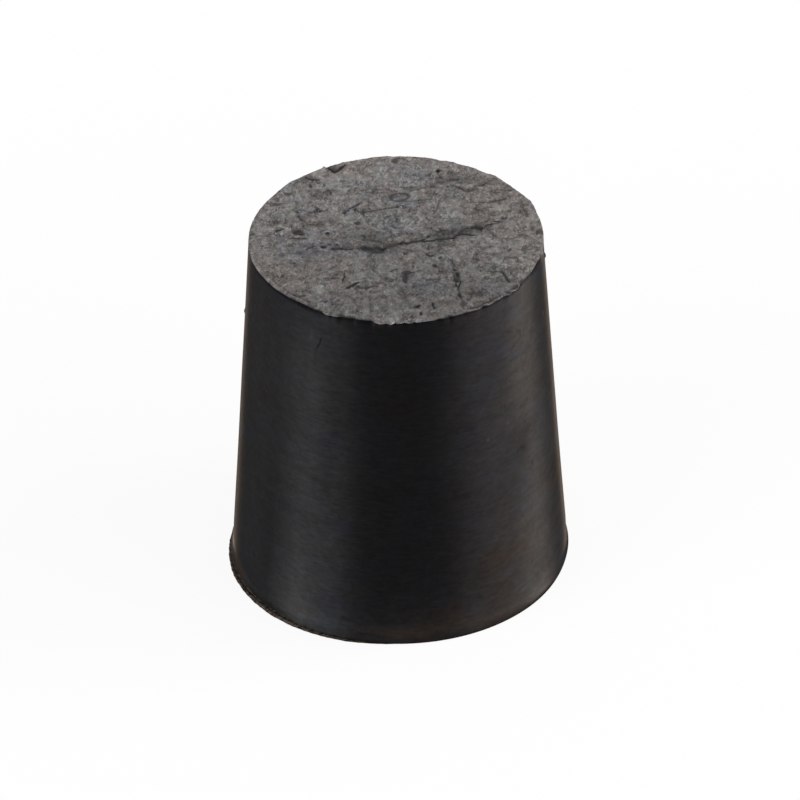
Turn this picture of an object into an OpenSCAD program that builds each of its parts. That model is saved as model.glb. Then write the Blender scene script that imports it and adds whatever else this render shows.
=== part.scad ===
// Solid tapered rubber stopper, moulded in one piece, for the neck of a flask or a test tube.
// It stands on its wide end. The origin is the centre of that end, and +Z points up to the
// narrow end, which goes into the neck. All lengths are in millimetres.

/* [Body] */
// Diameter of the narrow end
narrow_d = 25; // [16:0.5:28]
// Diameter of the wide end, where the tapered side would meet the ground
wide_d = 29; // [26:0.5:38]
// Height from the wide end to the narrow end
height = 32; // [18:1:50]
// Radius on the rim of the narrow end
rim_round = 0.12; // [0.05:0.01:0.6]

/* [Moulding lip] */
// How far the lip round the wide end stands out past the tapered side
lip_proud = 0.19; // [0.1:0.01:0.6]
// Height of the lip's edge above the ground
lip_height = 0.2; // [0.15:0.01:1.5]
// Radius of the hollow sweep from the side out to the lip
lip_sweep = 2; // [1:0.1:5]
// Bevel on the lip's lower edge
foot_bevel = 0.08; // [0.04:0.01:0.12]

/* [Flash left on one side of the lip] */
// Reach of the flash past the lip at its middle
flash_reach = 0.52; // [0.2:0.02:1.2]
// Angle round the lip from the flash's middle to each of its ends
flash_spread = 47; // [25:1:80]
// Thickness of the flash
flash_height = 0.16; // [0.1:0.01:0.6]
// Bearing of the flash's middle, from +X towards +Y
flash_bearing = 221; // [0:1:360]

/* [Wear on the narrow face] */
// Width of the fold line across the face
fold_width = 0.34; // [0.1:0.02:0.8]
// Depth of the fold line
fold_depth = 0.14; // [0.04:0.01:0.4]
// Width of the gouge that runs out to the rim
gouge_width = 0.42; // [0.1:0.02:0.8]
// Depth of the gouge
gouge_depth = 0.2; // [0.04:0.01:0.4]
// Width of the fine scratches
scratch_width = 0.2; // [0.06:0.02:0.5]
// Depth of the fine scratches
scratch_depth = 0.08; // [0.03:0.01:0.3]
// Width of the chip in the rim
chip_width = 1.8; // [0.6:0.1:4]
// Reach of the chip in from the rim
chip_reach = 1; // [0.4:0.1:2.5]
// Depth of the chip at the rim
chip_depth = 0.2; // [0.1:0.05:1]

/* [Hidden] */
$fn = 120;

narrow_r = narrow_d / 2;
wide_r = wide_d / 2;
lip_r = wide_r + lip_proud;

// Lean of the side from upright, the way straight out of it and the way up along it
lean = atan2(wide_r - narrow_r, height);
outward = [cos(lean), sin(lean)];
upward = [-sin(lean), cos(lean)];

// Centre of the rim's round, and where it meets the face and the side
rim_z = height - rim_round;
rim_x = wide_r - rim_z * tan(lean) - rim_round / cos(lean);
rim_centre = [rim_x, rim_z];
rim_top = [rim_x, height];
rim_side = rim_centre + rim_round * outward;

// The lip's sweep is a circle through the lip's upper edge that touches the side from outside
lip_top = [lip_r, lip_height];
lip_off = lip_proud * cos(lean) + lip_height * sin(lean);
sweep_r = max(lip_sweep, lip_off);
sweep_run = sqrt(2 * sweep_r * lip_off - lip_off * lip_off);
sweep_centre = lip_top + (sweep_r - lip_off) * outward + sweep_run * upward;
sweep_top = sweep_centre - sweep_r * outward;

// The flash is a disc set off centre, which crosses the lip's edge at the flash's two ends
flash_tip = lip_r + flash_reach;
flash_shift = (flash_tip ^ 2 - lip_r ^ 2) / (2 * (flash_tip - lip_r * cos(flash_spread)));
flash_r = flash_tip - flash_shift;

// Cuts overrun each other by this much where one mark is a run of several
overrun = 0.7;
// Half arc of a cutting wheel, as a share of its cut's length: over 0.5, to clear both ends
arc_share = 0.75;

// Marks on the narrow face, from point to point, in shares of the face's radius
fold_path = [[-0.44, -0.1], [-0.1, -0.08], [0.11, -0.03], [0.39, 0.01], [0.53, 0.05]];
fold_branch = [[0.22, 0.04], [0.54, 0.15], [0.75, 0.24]];
gouge_path = [[0.38, -0.26], [0.41, -0.57], [0.44, -0.86]];
scratches = [
    [[-0.33, 0.38], [-0.24, 0.45]],
    [[-0.26, 0.33], [0.26, 0.47]],
    [[0.5, 0.43], [0.75, 0.49]],
    [[0.09, 0.57], [0.27, 0.63]],
    [[0.38, 0.66], [0.56, 0.58]],
    [[0.03, -0.6], [0.09, -0.82]],
    [[-0.34, -0.58], [-0.27, -0.52]],
    [[0.71, -0.42], [0.76, -0.54]]
];
chip_bearing = 115;

// Half section of the moulded body
module body_outline() {
    difference() {
        union() {
            polygon([
                [0, 0],
                [lip_r - foot_bevel, 0],
                [lip_r, foot_bevel],
                lip_top,
                sweep_top,
                rim_side,
                rim_top,
                [0, height]
            ]);
            translate(rim_centre) circle(rim_round);
        }
        translate(sweep_centre) circle(sweep_r);
    }
}

// Thin crescent of rubber squeezed out between the mould's halves, which the trimming missed
module flash() {
    rotate([0, 0, flash_bearing])
    translate([flash_shift, 0, 0])
    cylinder(r = flash_r, h = flash_height);
}

// One boat-shaped cut in the face, sharp at the bottom and at both ends. It is the path of a
// large sharp-edged wheel, drawn only over the arc that cuts.
module nick(from, to, width, depth) {
    run = to - from;
    middle = (from + to) / 2;
    wheel_r = (run * run / 4 + depth * depth) / (2 * depth);
    half_arc = asin(arc_share * norm(run) / wheel_r);
    translate([middle.x, middle.y, height - depth + wheel_r])
    rotate([90, 0, atan2(run.y, run.x)])
    rotate([0, 0, -90 - half_arc])
    rotate_extrude(angle = 2 * half_arc)
    polygon([[wheel_r, 0], [wheel_r - 2 * depth, width], [wheel_r - 2 * depth, -width]]);
}

// A run of cuts along a path on the face, each carried on past its ends into the next
module crease(path, width, depth) {
    for (i = [1:len(path) - 1]) {
        from = path[i - 1] * narrow_r;
        to = path[i] * narrow_r;
        along = (to - from) / norm(to - from) * overrun;
        nick(from - along, to + along, width, depth);
    }
}

// A corner knocked out of the rim: two upright walls that meet, on a floor that falls outwards
module rim_chip(bearing) {
    spread = atan2(chip_width / 2, chip_reach);
    fall = atan2(chip_depth, chip_reach);
    size = chip_width + chip_reach;
    rotate([0, 0, bearing])
    translate([narrow_r - chip_reach, 0, height])
    rotate([0, fall, 0])
    linear_extrude(size)
    polygon([[0, 0], [size, -size * tan(spread)], [size, size * tan(spread)]]);
}

module stopper() {
    color("#1c1c1d")
    difference() {
        union() {
            rotate_extrude() body_outline();
            flash();
        }
        crease(fold_path, fold_width, fold_depth);
        crease(fold_branch, fold_width, fold_depth);
        crease(gouge_path, gouge_width, gouge_depth);
        for (ends = scratches) {
            nick(ends[0] * narrow_r, ends[1] * narrow_r, scratch_width, scratch_depth);
        }
        rim_chip(chip_bearing);
    }
}

stopper();
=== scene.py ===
"""A solid rubber stopper: worn narrow face, moulded side, and the lip with its flash.

Lengths are in millimetres until the mesh is finished, and Blender's metres after that. A bearing
is an angle round the stopper, in degrees from +X towards +Y.
"""

from __future__ import annotations

import logging
import math
from dataclasses import dataclass, field
from enum import Enum

import bmesh
import bpy
import numpy as np
from mathutils import Matrix, Vector, noise

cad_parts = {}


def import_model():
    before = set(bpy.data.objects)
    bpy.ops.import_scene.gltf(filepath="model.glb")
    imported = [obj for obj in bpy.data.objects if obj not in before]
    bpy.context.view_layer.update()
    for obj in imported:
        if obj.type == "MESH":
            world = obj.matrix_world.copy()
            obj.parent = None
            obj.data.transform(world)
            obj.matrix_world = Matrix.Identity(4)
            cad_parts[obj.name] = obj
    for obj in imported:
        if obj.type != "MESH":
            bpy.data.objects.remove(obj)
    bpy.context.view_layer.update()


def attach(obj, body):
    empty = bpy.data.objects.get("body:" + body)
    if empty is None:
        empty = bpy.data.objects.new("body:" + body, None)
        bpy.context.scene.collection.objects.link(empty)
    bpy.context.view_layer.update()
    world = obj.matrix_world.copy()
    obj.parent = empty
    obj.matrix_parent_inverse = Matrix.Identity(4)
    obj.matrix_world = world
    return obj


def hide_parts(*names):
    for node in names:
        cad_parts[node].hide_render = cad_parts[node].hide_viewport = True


LOG = logging.getLogger("stopper")
MM = 0.001
WHITE = (1.0, 1.0, 1.0, 1.0)
# Less than any real length, in millimetres
SLIGHT = 1e-4
Point = tuple[float, float]
Place = tuple[float, float, float]
Colour = tuple[float, float, float]


class Zone(Enum):
    """The parts of the stopper's skin, each with a finish of its own."""

    FACE = 0
    SIDE = 1
    LIP = 2


# ---------------------------------------------------------------------------------------------
# Shader maths
# ---------------------------------------------------------------------------------------------


class Value:
    """A number in a finish, on which Python's operators add Math nodes."""

    def __init__(self, graph: Graph, socket: bpy.types.NodeSocket) -> None:
        """Keeps the socket and the graph that it belongs to."""
        self.graph = graph
        self.socket = socket

    def math(self, operation: str, *terms: Value | float) -> Value:
        """Adds one Math node.

        Args:
            operation: The Math node's operation.
            terms: Its inputs in order.

        Returns:
            The node's result.
        """
        node = self.graph.node("ShaderNodeMath", {"operation": operation}, dict(enumerate(terms)))
        return Value(self.graph, node.outputs[0])

    def __add__(self, other: Value | float) -> Value:
        """Sum."""
        return self.math("ADD", self, other)

    def __radd__(self, other: float) -> Value:
        """Sum, with the number first."""
        return self.math("ADD", other, self)

    def __sub__(self, other: Value | float) -> Value:
        """Difference."""
        return self.math("SUBTRACT", self, other)

    def __rsub__(self, other: float) -> Value:
        """Difference, with the number first."""
        return self.math("SUBTRACT", other, self)

    def __mul__(self, other: Value | float) -> Value:
        """Product."""
        return self.math("MULTIPLY", self, other)

    def __rmul__(self, other: float) -> Value:
        """Product, with the number first."""
        return self.math("MULTIPLY", other, self)

    def __pow__(self, power: float) -> Value:
        """Power."""
        return self.math("POWER", self, power)

    def __abs__(self) -> Value:
        """Size without sign."""
        return self.math("ABSOLUTE", self)

    def larger(self, other: Value | float) -> Value:
        """The larger of two."""
        return self.math("MAXIMUM", self, other)

    def within(self, low: float, high: float) -> Value:
        """The share of the way from low to high, with soft ends.

        Args:
            low: Where the result is 0.
            high: Where the result is 1.

        Returns:
            The share, 0 to 1.
        """
        settings = {"interpolation_type": "SMOOTHSTEP"}
        sockets = {"Value": self, "From Min": low, "From Max": high}
        return Value(self.graph, self.graph.node("ShaderNodeMapRange", settings, sockets).outputs[0])


class Graph:
    """The node tree of one finish."""

    def __init__(self, tree: bpy.types.NodeTree) -> None:
        """Starts from an empty tree."""
        self.tree = tree
        self.tree.nodes.clear()

    def node(self, kind: str, settings: dict | None = None, sockets: dict | None = None) -> bpy.types.Node:
        """Adds a node.

        Args:
            kind: The node's type.
            settings: Its properties, which are set first.
            sockets: Values or links for its inputs, by name or number.

        Returns:
            The node.
        """
        made = self.tree.nodes.new(kind)
        for name, choice in (settings or {}).items():
            setattr(made, name, choice)
        for key, content in (sockets or {}).items():
            content = content.socket if isinstance(content, Value) else content
            if isinstance(content, bpy.types.NodeSocket):
                self.tree.links.new(content, made.inputs[key])
            else:
                made.inputs[key].default_value = content
        return made

    def number(self, name: str) -> Value:
        """Reads a number that the mesh holds at each point.

        Args:
            name: The attribute's name.

        Returns:
            The number.
        """
        return Value(self, self.node("ShaderNodeAttribute", {"attribute_name": name}).outputs["Fac"])

    def place(self, spread: Place = (1.0, 1.0, 1.0)) -> bpy.types.NodeSocket:
        """Gives the place on the object in millimetres.

        Args:
            spread: What each axis is multiplied by, to draw a pattern out along the others.

        Returns:
            The place.
        """
        coords = self.node("ShaderNodeTexCoord").outputs["Object"]
        scale = tuple(s / MM for s in spread)
        return self.node("ShaderNodeVectorMath", {"operation": "MULTIPLY"}, {0: coords, 1: scale}).outputs[0]

    def warped(self, place: bpy.types.NodeSocket, per_mm: float, reach: float) -> bpy.types.NodeSocket:
        """Pushes a place about, so that a pattern on it wanders.

        Args:
            place: The place in millimetres.
            per_mm: How many waves there are to a millimetre.
            reach: How far the push goes in millimetres.

        Returns:
            The new place.
        """
        push = self.node("ShaderNodeTexNoise", None, {"Vector": place, "Scale": per_mm, "Detail": 1.0})
        sockets = {0: push.outputs["Color"], 1: (0.5, 0.5, 0.5)}
        centred = self.node("ShaderNodeVectorMath", {"operation": "SUBTRACT"}, sockets)
        sockets = {0: centred.outputs[0], 1: (2 * reach,) * 3, 2: place}
        return self.node("ShaderNodeVectorMath", {"operation": "MULTIPLY_ADD"}, sockets).outputs[0]

    def cloud(
        self,
        place: bpy.types.NodeSocket,
        per_mm: float,
        detail: float = 2.0,
        rough: float = 0.5,
        curl: float = 0.0,
    ) -> Value:
        """A cloudy pattern.

        Args:
            place: The place in millimetres.
            per_mm: How many waves there are to a millimetre.
            detail: How many finer layers are added.
            rough: How strong each finer layer is.
            curl: How far the pattern is drawn out into curls.

        Returns:
            The pattern, from about -1 to 1 round 0.
        """
        sockets = {"Vector": place, "Scale": per_mm, "Detail": detail, "Roughness": rough, "Distortion": curl}
        made = self.node("ShaderNodeTexNoise", None, sockets)
        return Value(self, made.outputs["Fac"]) * 2.0 - 1.0

    def threads(self, place: bpy.types.NodeSocket, per_mm: float, thin: float) -> Value:
        """Curly threads, where a cloudy pattern crosses its middle.

        Args:
            place: The place in millimetres.
            per_mm: How many waves there are to a millimetre.
            thin: How thin the threads are.

        Returns:
            The pattern, 0 between the threads and 1 along their middles.
        """
        return (1.0 - abs(self.cloud(place, per_mm, 1.0)) * thin).larger(0.0)

    def blend(
        self,
        share: Value | float,
        first: object,
        second: object,
        mode: str = "MIX",
    ) -> bpy.types.NodeSocket:
        """Mixes two colours.

        Args:
            share: How much of the second colour there is.
            first: The first colour, as numbers or a link.
            second: The second colour, as numbers or a link.
            mode: The way that they mix.

        Returns:
            The mixed colour.
        """
        settings = {"data_type": "RGBA", "blend_type": mode, "clamp_factor": True}
        colours = [(*c, 1.0) if isinstance(c, tuple) else c for c in (first, second)]
        return self.node("ShaderNodeMix", settings, {0: share, 6: colours[0], 7: colours[1]}).outputs[2]

    def grey(self, level: Value) -> bpy.types.NodeSocket:
        """A colour with the same level in all its parts."""
        return self.node("ShaderNodeCombineColor", None, {0: level, 1: level, 2: level}).outputs[0]

    def bump(self, strength: float, depth: float, height: Value) -> bpy.types.NodeSocket:
        """Tilts the surface as a fine relief would.

        Args:
            strength: How much of the tilt is used.
            depth: How high the relief is in millimetres, where the height is 1.
            height: The relief.

        Returns:
            The tilted surface's direction.
        """
        sockets = {"Strength": strength, "Distance": depth * MM, "Height": height}
        return self.node("ShaderNodeBump", None, sockets).outputs[0]

    def shader(self, **sockets: object) -> bpy.types.NodeSocket:
        """Adds a Principled shader.

        Args:
            sockets: Its inputs, with _ for a space in their names.

        Returns:
            The shader's socket.
        """
        named = {name.replace("_", " "): content for name, content in sockets.items()}
        return self.node("ShaderNodeBsdfPrincipled", None, named).outputs[0]

    def mixed(
        self,
        share: Value,
        first: bpy.types.NodeSocket,
        second: bpy.types.NodeSocket,
    ) -> bpy.types.NodeSocket:
        """Mixes two shaders.

        Args:
            share: How much of the second shader there is.
            first: The first shader's socket.
            second: The second shader's socket.

        Returns:
            The mixed shader's socket.
        """
        return self.node("ShaderNodeMixShader", None, {0: share, 1: first, 2: second}).outputs[0]

    def show(self, surface: bpy.types.NodeSocket, kind: str = "ShaderNodeOutputMaterial") -> None:
        """Links a shader to the output.

        Args:
            surface: The shader's socket.
            kind: The output node's type.
        """
        self.node(kind, None, {"Surface": surface})


def new_finish(name: str) -> tuple[bpy.types.Material, Graph]:
    """Starts a material.

    Args:
        name: Its name.

    Returns:
        The material and its empty graph.
    """
    material = bpy.data.materials.new(name)
    material.use_nodes = True
    return material, Graph(material.node_tree)


# ---------------------------------------------------------------------------------------------
# Finishes
# ---------------------------------------------------------------------------------------------


@dataclass(frozen=True)
class MouldedSkin:
    """Smooth black rubber, with the fine rings that the mould's turning left round it.

    The gloss is spread up and down across the rings and stays narrow round the stopper.
    """

    black: Colour = (0.0020, 0.0017, 0.0018)
    bluish: Colour = (0.0013, 0.0014, 0.0020)
    gloss_plain: Colour = (0.92, 0.91, 0.92)
    gloss_warm: Colour = (1.0, 0.78, 0.62)
    gloss_cold: Colour = (0.89, 0.91, 1.0)
    roughness: float = 0.46
    stretch: float = 0.87
    quarter_turn: float = 0.25
    gloss_facing: float = 0.0060
    gloss_aslant: float = 0.0140
    gloss_edge: float = 0.04
    gloss_brink: float = 0.045
    ring_depth: float = 0.003

    def build(self) -> bpy.types.Material:
        """Makes the material.

        Returns:
            The material.
        """
        material, graph = new_finish("moulded_skin")
        rings = graph.cloud(graph.place((0.12, 0.12, 1.0)), 6.5, 2.0, 0.6)
        bands = graph.cloud(graph.place((0.12, 0.12, 1.0)), 1.1, 2.0, 0.6)
        clouds = graph.cloud(graph.place(), 0.22, 3.0, 0.6)
        scuffs = graph.threads(graph.warped(graph.place(), 0.8, 0.8), 0.55, 6.0) ** 2.0
        grain = graph.cloud(graph.place(), 2.6, 2.0, 0.6)
        warmth = graph.cloud(graph.place((1.0, 1.0, 1.4)), 0.26, 2.0, 0.55)
        colour = graph.blend(clouds.within(-0.35, 0.45), self.black, self.bluish)
        facing = Value(graph, graph.node("ShaderNodeLayerWeight", None, {"Blend": 0.5}).outputs["Facing"])
        # The side's patches warm or cool the reflection here, a painted tint of its highlights
        warmth = warmth + graph.number("painted_sheen_warmth") + 1.1 * facing.within(0.7, 0.92)
        tint = graph.blend(warmth.within(0.0, 1.2), self.gloss_plain, self.gloss_warm)
        tint = graph.blend((warmth * -1.0).within(0.0, 0.35), tint, self.gloss_cold)
        rough = self.roughness + 0.06 * clouds + 0.04 * bands
        height = rings + 0.5 * grain + 2.0 * bands
        bump = graph.bump(1.0, self.ring_depth, height)
        share = self.gloss_facing + self.gloss_aslant * facing.within(0.12, 0.5)
        share = share + self.gloss_edge * facing.within(0.72, 1.0)
        share = share + self.gloss_brink * facing.within(0.79, 0.93)
        streaks = graph.cloud(graph.place((0.3, 0.3, 1.0)), 3.6, 1.0)
        streaks = streaks * (1.0 - 0.7 * facing.within(0.12, 0.5))
        marked = 1.0 + 0.24 * rings + 0.12 * bands + 0.24 * clouds
        marked = marked + 0.2 * grain + 0.12 * scuffs + 0.4 * streaks
        # The gloss attribute brightens or dulls the reflection: painted highlights and painted shade from the
        # side's patches and under the rim, with the scratches' own gloss
        share = share * marked * (1.0 + graph.number("gloss"))
        matt = graph.shader(Base_Color=colour, Roughness=1.0, Specular_IOR_Level=0.0, Normal=bump)
        gloss = graph.shader(
            Base_Color=tint,
            Metallic=1.0,
            Roughness=rough,
            Anisotropic=self.stretch,
            Anisotropic_Rotation=self.quarter_turn,
            Normal=bump,
        )
        graph.show(graph.mixed(share, matt, gloss))
        return material


@dataclass(frozen=True)
class WornFace:
    """The grey, scuffed and matted rubber of the narrow face."""

    grey: Colour = (0.140, 0.1365, 0.1355)
    pinkish: Colour = (1.04, 0.985, 0.98)
    greenish: Colour = (0.975, 1.01, 0.975)
    bluish: Colour = (0.96, 0.985, 1.06)
    brown: Colour = (1.06, 0.98, 0.945)
    dark: Colour = (0.014, 0.013, 0.014)
    roughness: float = 0.8
    ior: float = 1.35
    mat_depth: float = 0.04

    def build(self) -> bpy.types.Material:
        """Makes the material.

        Returns:
            The material.
        """
        material, graph = new_finish("worn_face")
        flat = graph.place((1.0, 0.85, 1.0))
        square = graph.place((1.0, 0.6, 1.0))
        place = graph.warped(flat, 1.1, 0.3)
        pale = graph.threads(graph.warped(square, 2.4, 0.2), 2.6, 3.1) ** 2.0
        pale = pale * graph.cloud(place, 1.5, 1.0).within(-0.2, 0.2)
        gaps = graph.threads(graph.warped(square, 2.2, 0.2), 2.3, 3.1) ** 2.0
        gaps = gaps * graph.cloud(place, 1.3, 1.0).within(-0.2, 0.2)
        grain = graph.cloud(flat, 2.0, 3.0, 0.9, 0.4)
        patch = graph.cloud(place, 1.2, 1.0, 0.6)
        soft = graph.cloud(graph.place(), 0.5, 1.0, 0.55)
        broad = graph.cloud(graph.place(), 0.16, 1.0)
        tone = 0.95 + 0.74 * pale - 0.56 * gaps + 1.32 * grain + 0.34 * patch + 0.5 * soft + 0.25 * broad
        scar = graph.number("scar")
        # The stain holds stains and marks, and also painted shade and highlight at the rim and the painted
        # light of some broad patches
        stain = graph.number("stain")
        warm = graph.number("warmth")
        mottled = graph.cloud(graph.place(), 0.5, 2.0, 0.6).within(-0.2, 0.2)
        tinted = graph.blend(mottled, self.pinkish, self.greenish)
        cold = graph.cloud(graph.warped(graph.place(), 0.5, 1.0), 0.6, 2.0, 0.6).within(0.05, 0.4)
        tinted = graph.blend(cold, tinted, self.bluish)
        tinted = graph.blend(warm.within(0.0, 1.0), tinted, self.brown)
        tinted = graph.blend((warm * -1.0).within(0.0, 1.0), tinted, self.bluish)
        level = (tone * (1.0 - stain)).larger(0.05)
        lit = graph.blend(1.0, self.grey, tinted, "MULTIPLY")
        lit = graph.blend(1.0, lit, graph.grey(level), "MULTIPLY")
        torn = scar * (1.0 + 0.9 * grain)
        colour = graph.blend(torn, lit, self.dark)
        height = 0.5 * pale - 0.8 * gaps + 1.2 * grain + 0.8 * patch
        bump = graph.bump(0.7, self.mat_depth, height)
        graph.show(graph.shader(Base_Color=colour, Roughness=self.roughness, IOR=self.ior, Normal=bump))
        return material


@dataclass(frozen=True)
class TrimmedLip:
    """Thin rubber at the lip, torn and a little brown where it was pulled from the mould."""

    # The dark brown is set darker than the rubber's own, partly painted shade for the groove at the flash's
    # root
    brown: Colour = (0.0105, 0.0080, 0.0064)
    pale: Colour = (0.130, 0.106, 0.086)
    roughness: float = 0.7
    ior: float = 1.1
    specular: float = 0.1
    tick_depth: float = 0.02

    def build(self) -> bpy.types.Material:
        """Makes the material.

        Returns:
            The material.
        """
        material, graph = new_finish("trimmed_lip")
        ticks = graph.cloud(graph.place((1.0, 1.0, 0.3)), 2.6, 2.0, 0.8)
        torn = graph.number("torn")
        colour = graph.blend((torn * (1.0 + 2.2 * ticks)).within(0.0, 1.5), self.brown, self.pale)
        surface = graph.shader(
            Base_Color=colour,
            Roughness=self.roughness,
            IOR=self.ior,
            Specular_IOR_Level=self.specular,
            Normal=graph.bump(0.5, self.tick_depth, ticks),
        )
        graph.show(surface)
        return material


# ---------------------------------------------------------------------------------------------
# Marks on the narrow face
# ---------------------------------------------------------------------------------------------


def soft_step(low: float, high: float, values: np.ndarray) -> np.ndarray:
    """Rises smoothly from 0 to 1.

    Args:
        low: Where the result is 0.
        high: Where the result is 1.
        values: What is looked up.

    Returns:
        The share at each value.
    """
    share = np.clip((values - low) / (high - low), 0.0, 1.0)
    return share * share * (3.0 - 2.0 * share)


def wander(points: np.ndarray, per_mm: float, seed: float) -> np.ndarray:
    """A smooth random number at each point.

    Args:
        points: The points, in rows of two or three.
        per_mm: How many waves there are to a millimetre.
        seed: Which of many such patterns it is.

    Returns:
        The numbers, from about -1 to 1.
    """
    rows = np.zeros((len(points), 3))
    rows[:, : points.shape[1]] = points * per_mm
    rows += seed * 17.31
    return np.array([noise.noise(Vector(row)) for row in rows])


@dataclass(frozen=True)
class Stroke:
    """A fold, cut or scratch that runs from point to point over the narrow face.

    Dark is how black its bottom is, from 0 to 1, and stain the share of its light that it loses.
    Warmth tints the rubber round it brown, or blue where it is below 0.
    """

    path: tuple[Point, ...]
    width: float
    dark: float
    warmth: float = 0.0
    stain: float = 0.0
    ends: float = 0.12
    steep: float = 0.35
    halo: float = 0.24
    burr: float = 0.05

    @property
    def depth(self) -> float:
        """How deep its bottom is."""
        return self.steep * self.width * self.dark

    def nearest(self, points: np.ndarray) -> tuple[np.ndarray, np.ndarray]:
        """Measures how far each point is from the stroke.

        Args:
            points: The points, in rows of two.

        Returns:
            The distances, and the shares of the stroke's length at which they are measured.
        """
        path = np.array(self.path)
        runs = np.linalg.norm(np.diff(path, axis=0), axis=1)
        starts = np.concatenate([[0.0], np.cumsum(runs)])
        best = np.full(len(points), np.inf)
        share = np.zeros(len(points))
        for index, run in enumerate(runs):
            way = (path[index + 1] - path[index]) / run
            along = np.clip((points - path[index]) @ way, 0.0, run)
            away = np.linalg.norm(points - path[index] - along[:, None] * way, axis=1)
            closer = away < best
            best[closer] = away[closer]
            share[closer] = ((starts[index] + along) / starts[-1])[closer]
        return best, share

    def offset(self, points: np.ndarray) -> np.ndarray:
        """Measures how far each point is from the stroke, in half widths at that place.

        Args:
            points: The points, in rows of two.

        Returns:
            The distances, 1 at the stroke's edge.
        """
        away, share = self.nearest(points)
        taper = soft_step(0.0, self.ends, share) * soft_step(0.0, self.ends, 1.0 - share)
        return away / (self.width / 2 * (0.35 + 0.65 * taper))


@dataclass(frozen=True)
class Spot:
    """A pit, dark patch or pale patch on the narrow face.

    Long and wide are half lengths, turn is the bearing of the long one. Dark is how black it is,
    stain the share of its light that it loses, and warmth its tint, brown above 0 and blue below.
    A hollow spot is a ring.
    """

    centre: Point
    long: float
    wide: float
    turn: float = 0.0
    dark: float = 0.0
    stain: float = 0.0
    warmth: float = 0.0
    hollow: bool = False
    soft: float = 0.4
    deep: float = 0.35

    @property
    def depth(self) -> float:
        """How deep its bottom is."""
        return self.deep * min(self.long, self.wide) * self.dark * (0.0 if self.hollow else 1.0)

    def cover(self, points: np.ndarray) -> np.ndarray:
        """Says how much each point is covered.

        Args:
            points: The points, in rows of two.

        Returns:
            The shares, 1 on the spot and 0 well off it.
        """
        turn = math.radians(self.turn)
        way = np.array([math.cos(turn), math.sin(turn)])
        across = np.array([-way[1], way[0]])
        away = points - np.array(self.centre)
        size = np.hypot(away @ way / self.long, away @ across / self.wide)
        size = abs(size - 1.0) + 1.0 - self.soft if self.hollow else size
        return 1.0 - soft_step(1.0 - self.soft, 1.0 + self.soft, size)


# The fold across the face, and what branches off it
FOLD = (
    Stroke(((-5.5, -1.45), (-5.1, -1.5), (-4.75, -1.35), (-4.3, -1.6), (-3.6, -1.6)), 0.26, 0.8, -0.4),
    Stroke(((-3.9, -1.6), (-3.3, -1.5), (-2.9, -1.4)), 0.2, 0.6),
    Stroke(
        ((-3.0, -1.35), (-2.6, -1.3), (-2.3, -1.5), (-1.7, -1.4), (-1.2, -1.5), (-0.8, -1.3)),
        0.62,
        1.0,
        steep=0.2,
    ),
    Stroke(((-1.2, -1.35), (-0.4, -1.1), (0.4, -0.65)), 0.72, 0.7, 0.9, steep=0.2),
    Stroke(((-5.05, -0.5), (-4.75, -0.9), (-4.45, -1.25)), 0.18, 0.0, stain=-0.35),
    Stroke(((-3.0, -1.0), (-2.75, -0.4), (-2.5, 0.1)), 0.16, 0.0, stain=-0.25),
    Stroke(((0.2, -0.7), (0.5, -0.6), (0.9, -0.8), (1.2, -0.6), (2.1, -0.4), (2.5, -0.1)), 0.34, 1.0),
    Stroke(
        ((2.0, -0.5), (3.0, -0.4), (3.5, -0.2), (4.8, -0.1), (5.1, 0.3), (5.6, 0.6), (6.7, 0.3)),
        0.4,
        0.95,
    ),
    Stroke(((1.8, -0.1), (3.2, 0.5), (3.7, 0.9), (4.4, 1.2)), 0.2, 0.55),
    Stroke(((5.0, 0.3), (5.7, 1.2), (6.1, 1.4), (6.4, 1.4)), 0.22, 0.75),
    Stroke(((6.3, 1.4), (6.7, 1.7), (7.2, 1.4), (7.4, 1.4)), 0.62, 1.0, steep=0.25),
    Stroke(((7.5, 1.5), (7.8, 1.9), (8.1, 2.0), (8.5, 2.0)), 0.27, 0.9),
    Stroke(((8.3, 2.4), (8.9, 2.3)), 0.27, 0.8),
    Stroke(((8.9, 2.9), (9.2, 2.8), (9.5, 2.9)), 0.3, 0.75),
    Stroke(((3.2, -0.7), (4.5, -1.3)), 0.2, 0.45),
    Stroke(((-7.7, -1.6), (-7.4, -1.3), (-6.9, -1.1)), 0.27, 0.6, -1),
    Stroke(((-2.9, -0.3), (-2.4, -0.1), (-1.0, -0.8)), 0.29, 0.5),
)
# The gouge that runs out to the rim
GOUGE = (
    Stroke(((4.7, -3.3), (4.8, -4.6)), 0.2, 0.6),
    Stroke(((5.35, -6.4), (5.33, -7.0), (5.2, -7.4), (5.05, -7.3), (4.9, -6.8)), 0.17, 1.0),
    Stroke(((5.1, -7.4), (5.2, -8.0), (5.3, -8.8), (5.45, -9.3)), 0.16, 0.75),
    Stroke(((5.45, -9.3), (5.5, -10.0), (5.55, -10.8)), 0.2, 0.42),
)
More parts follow.
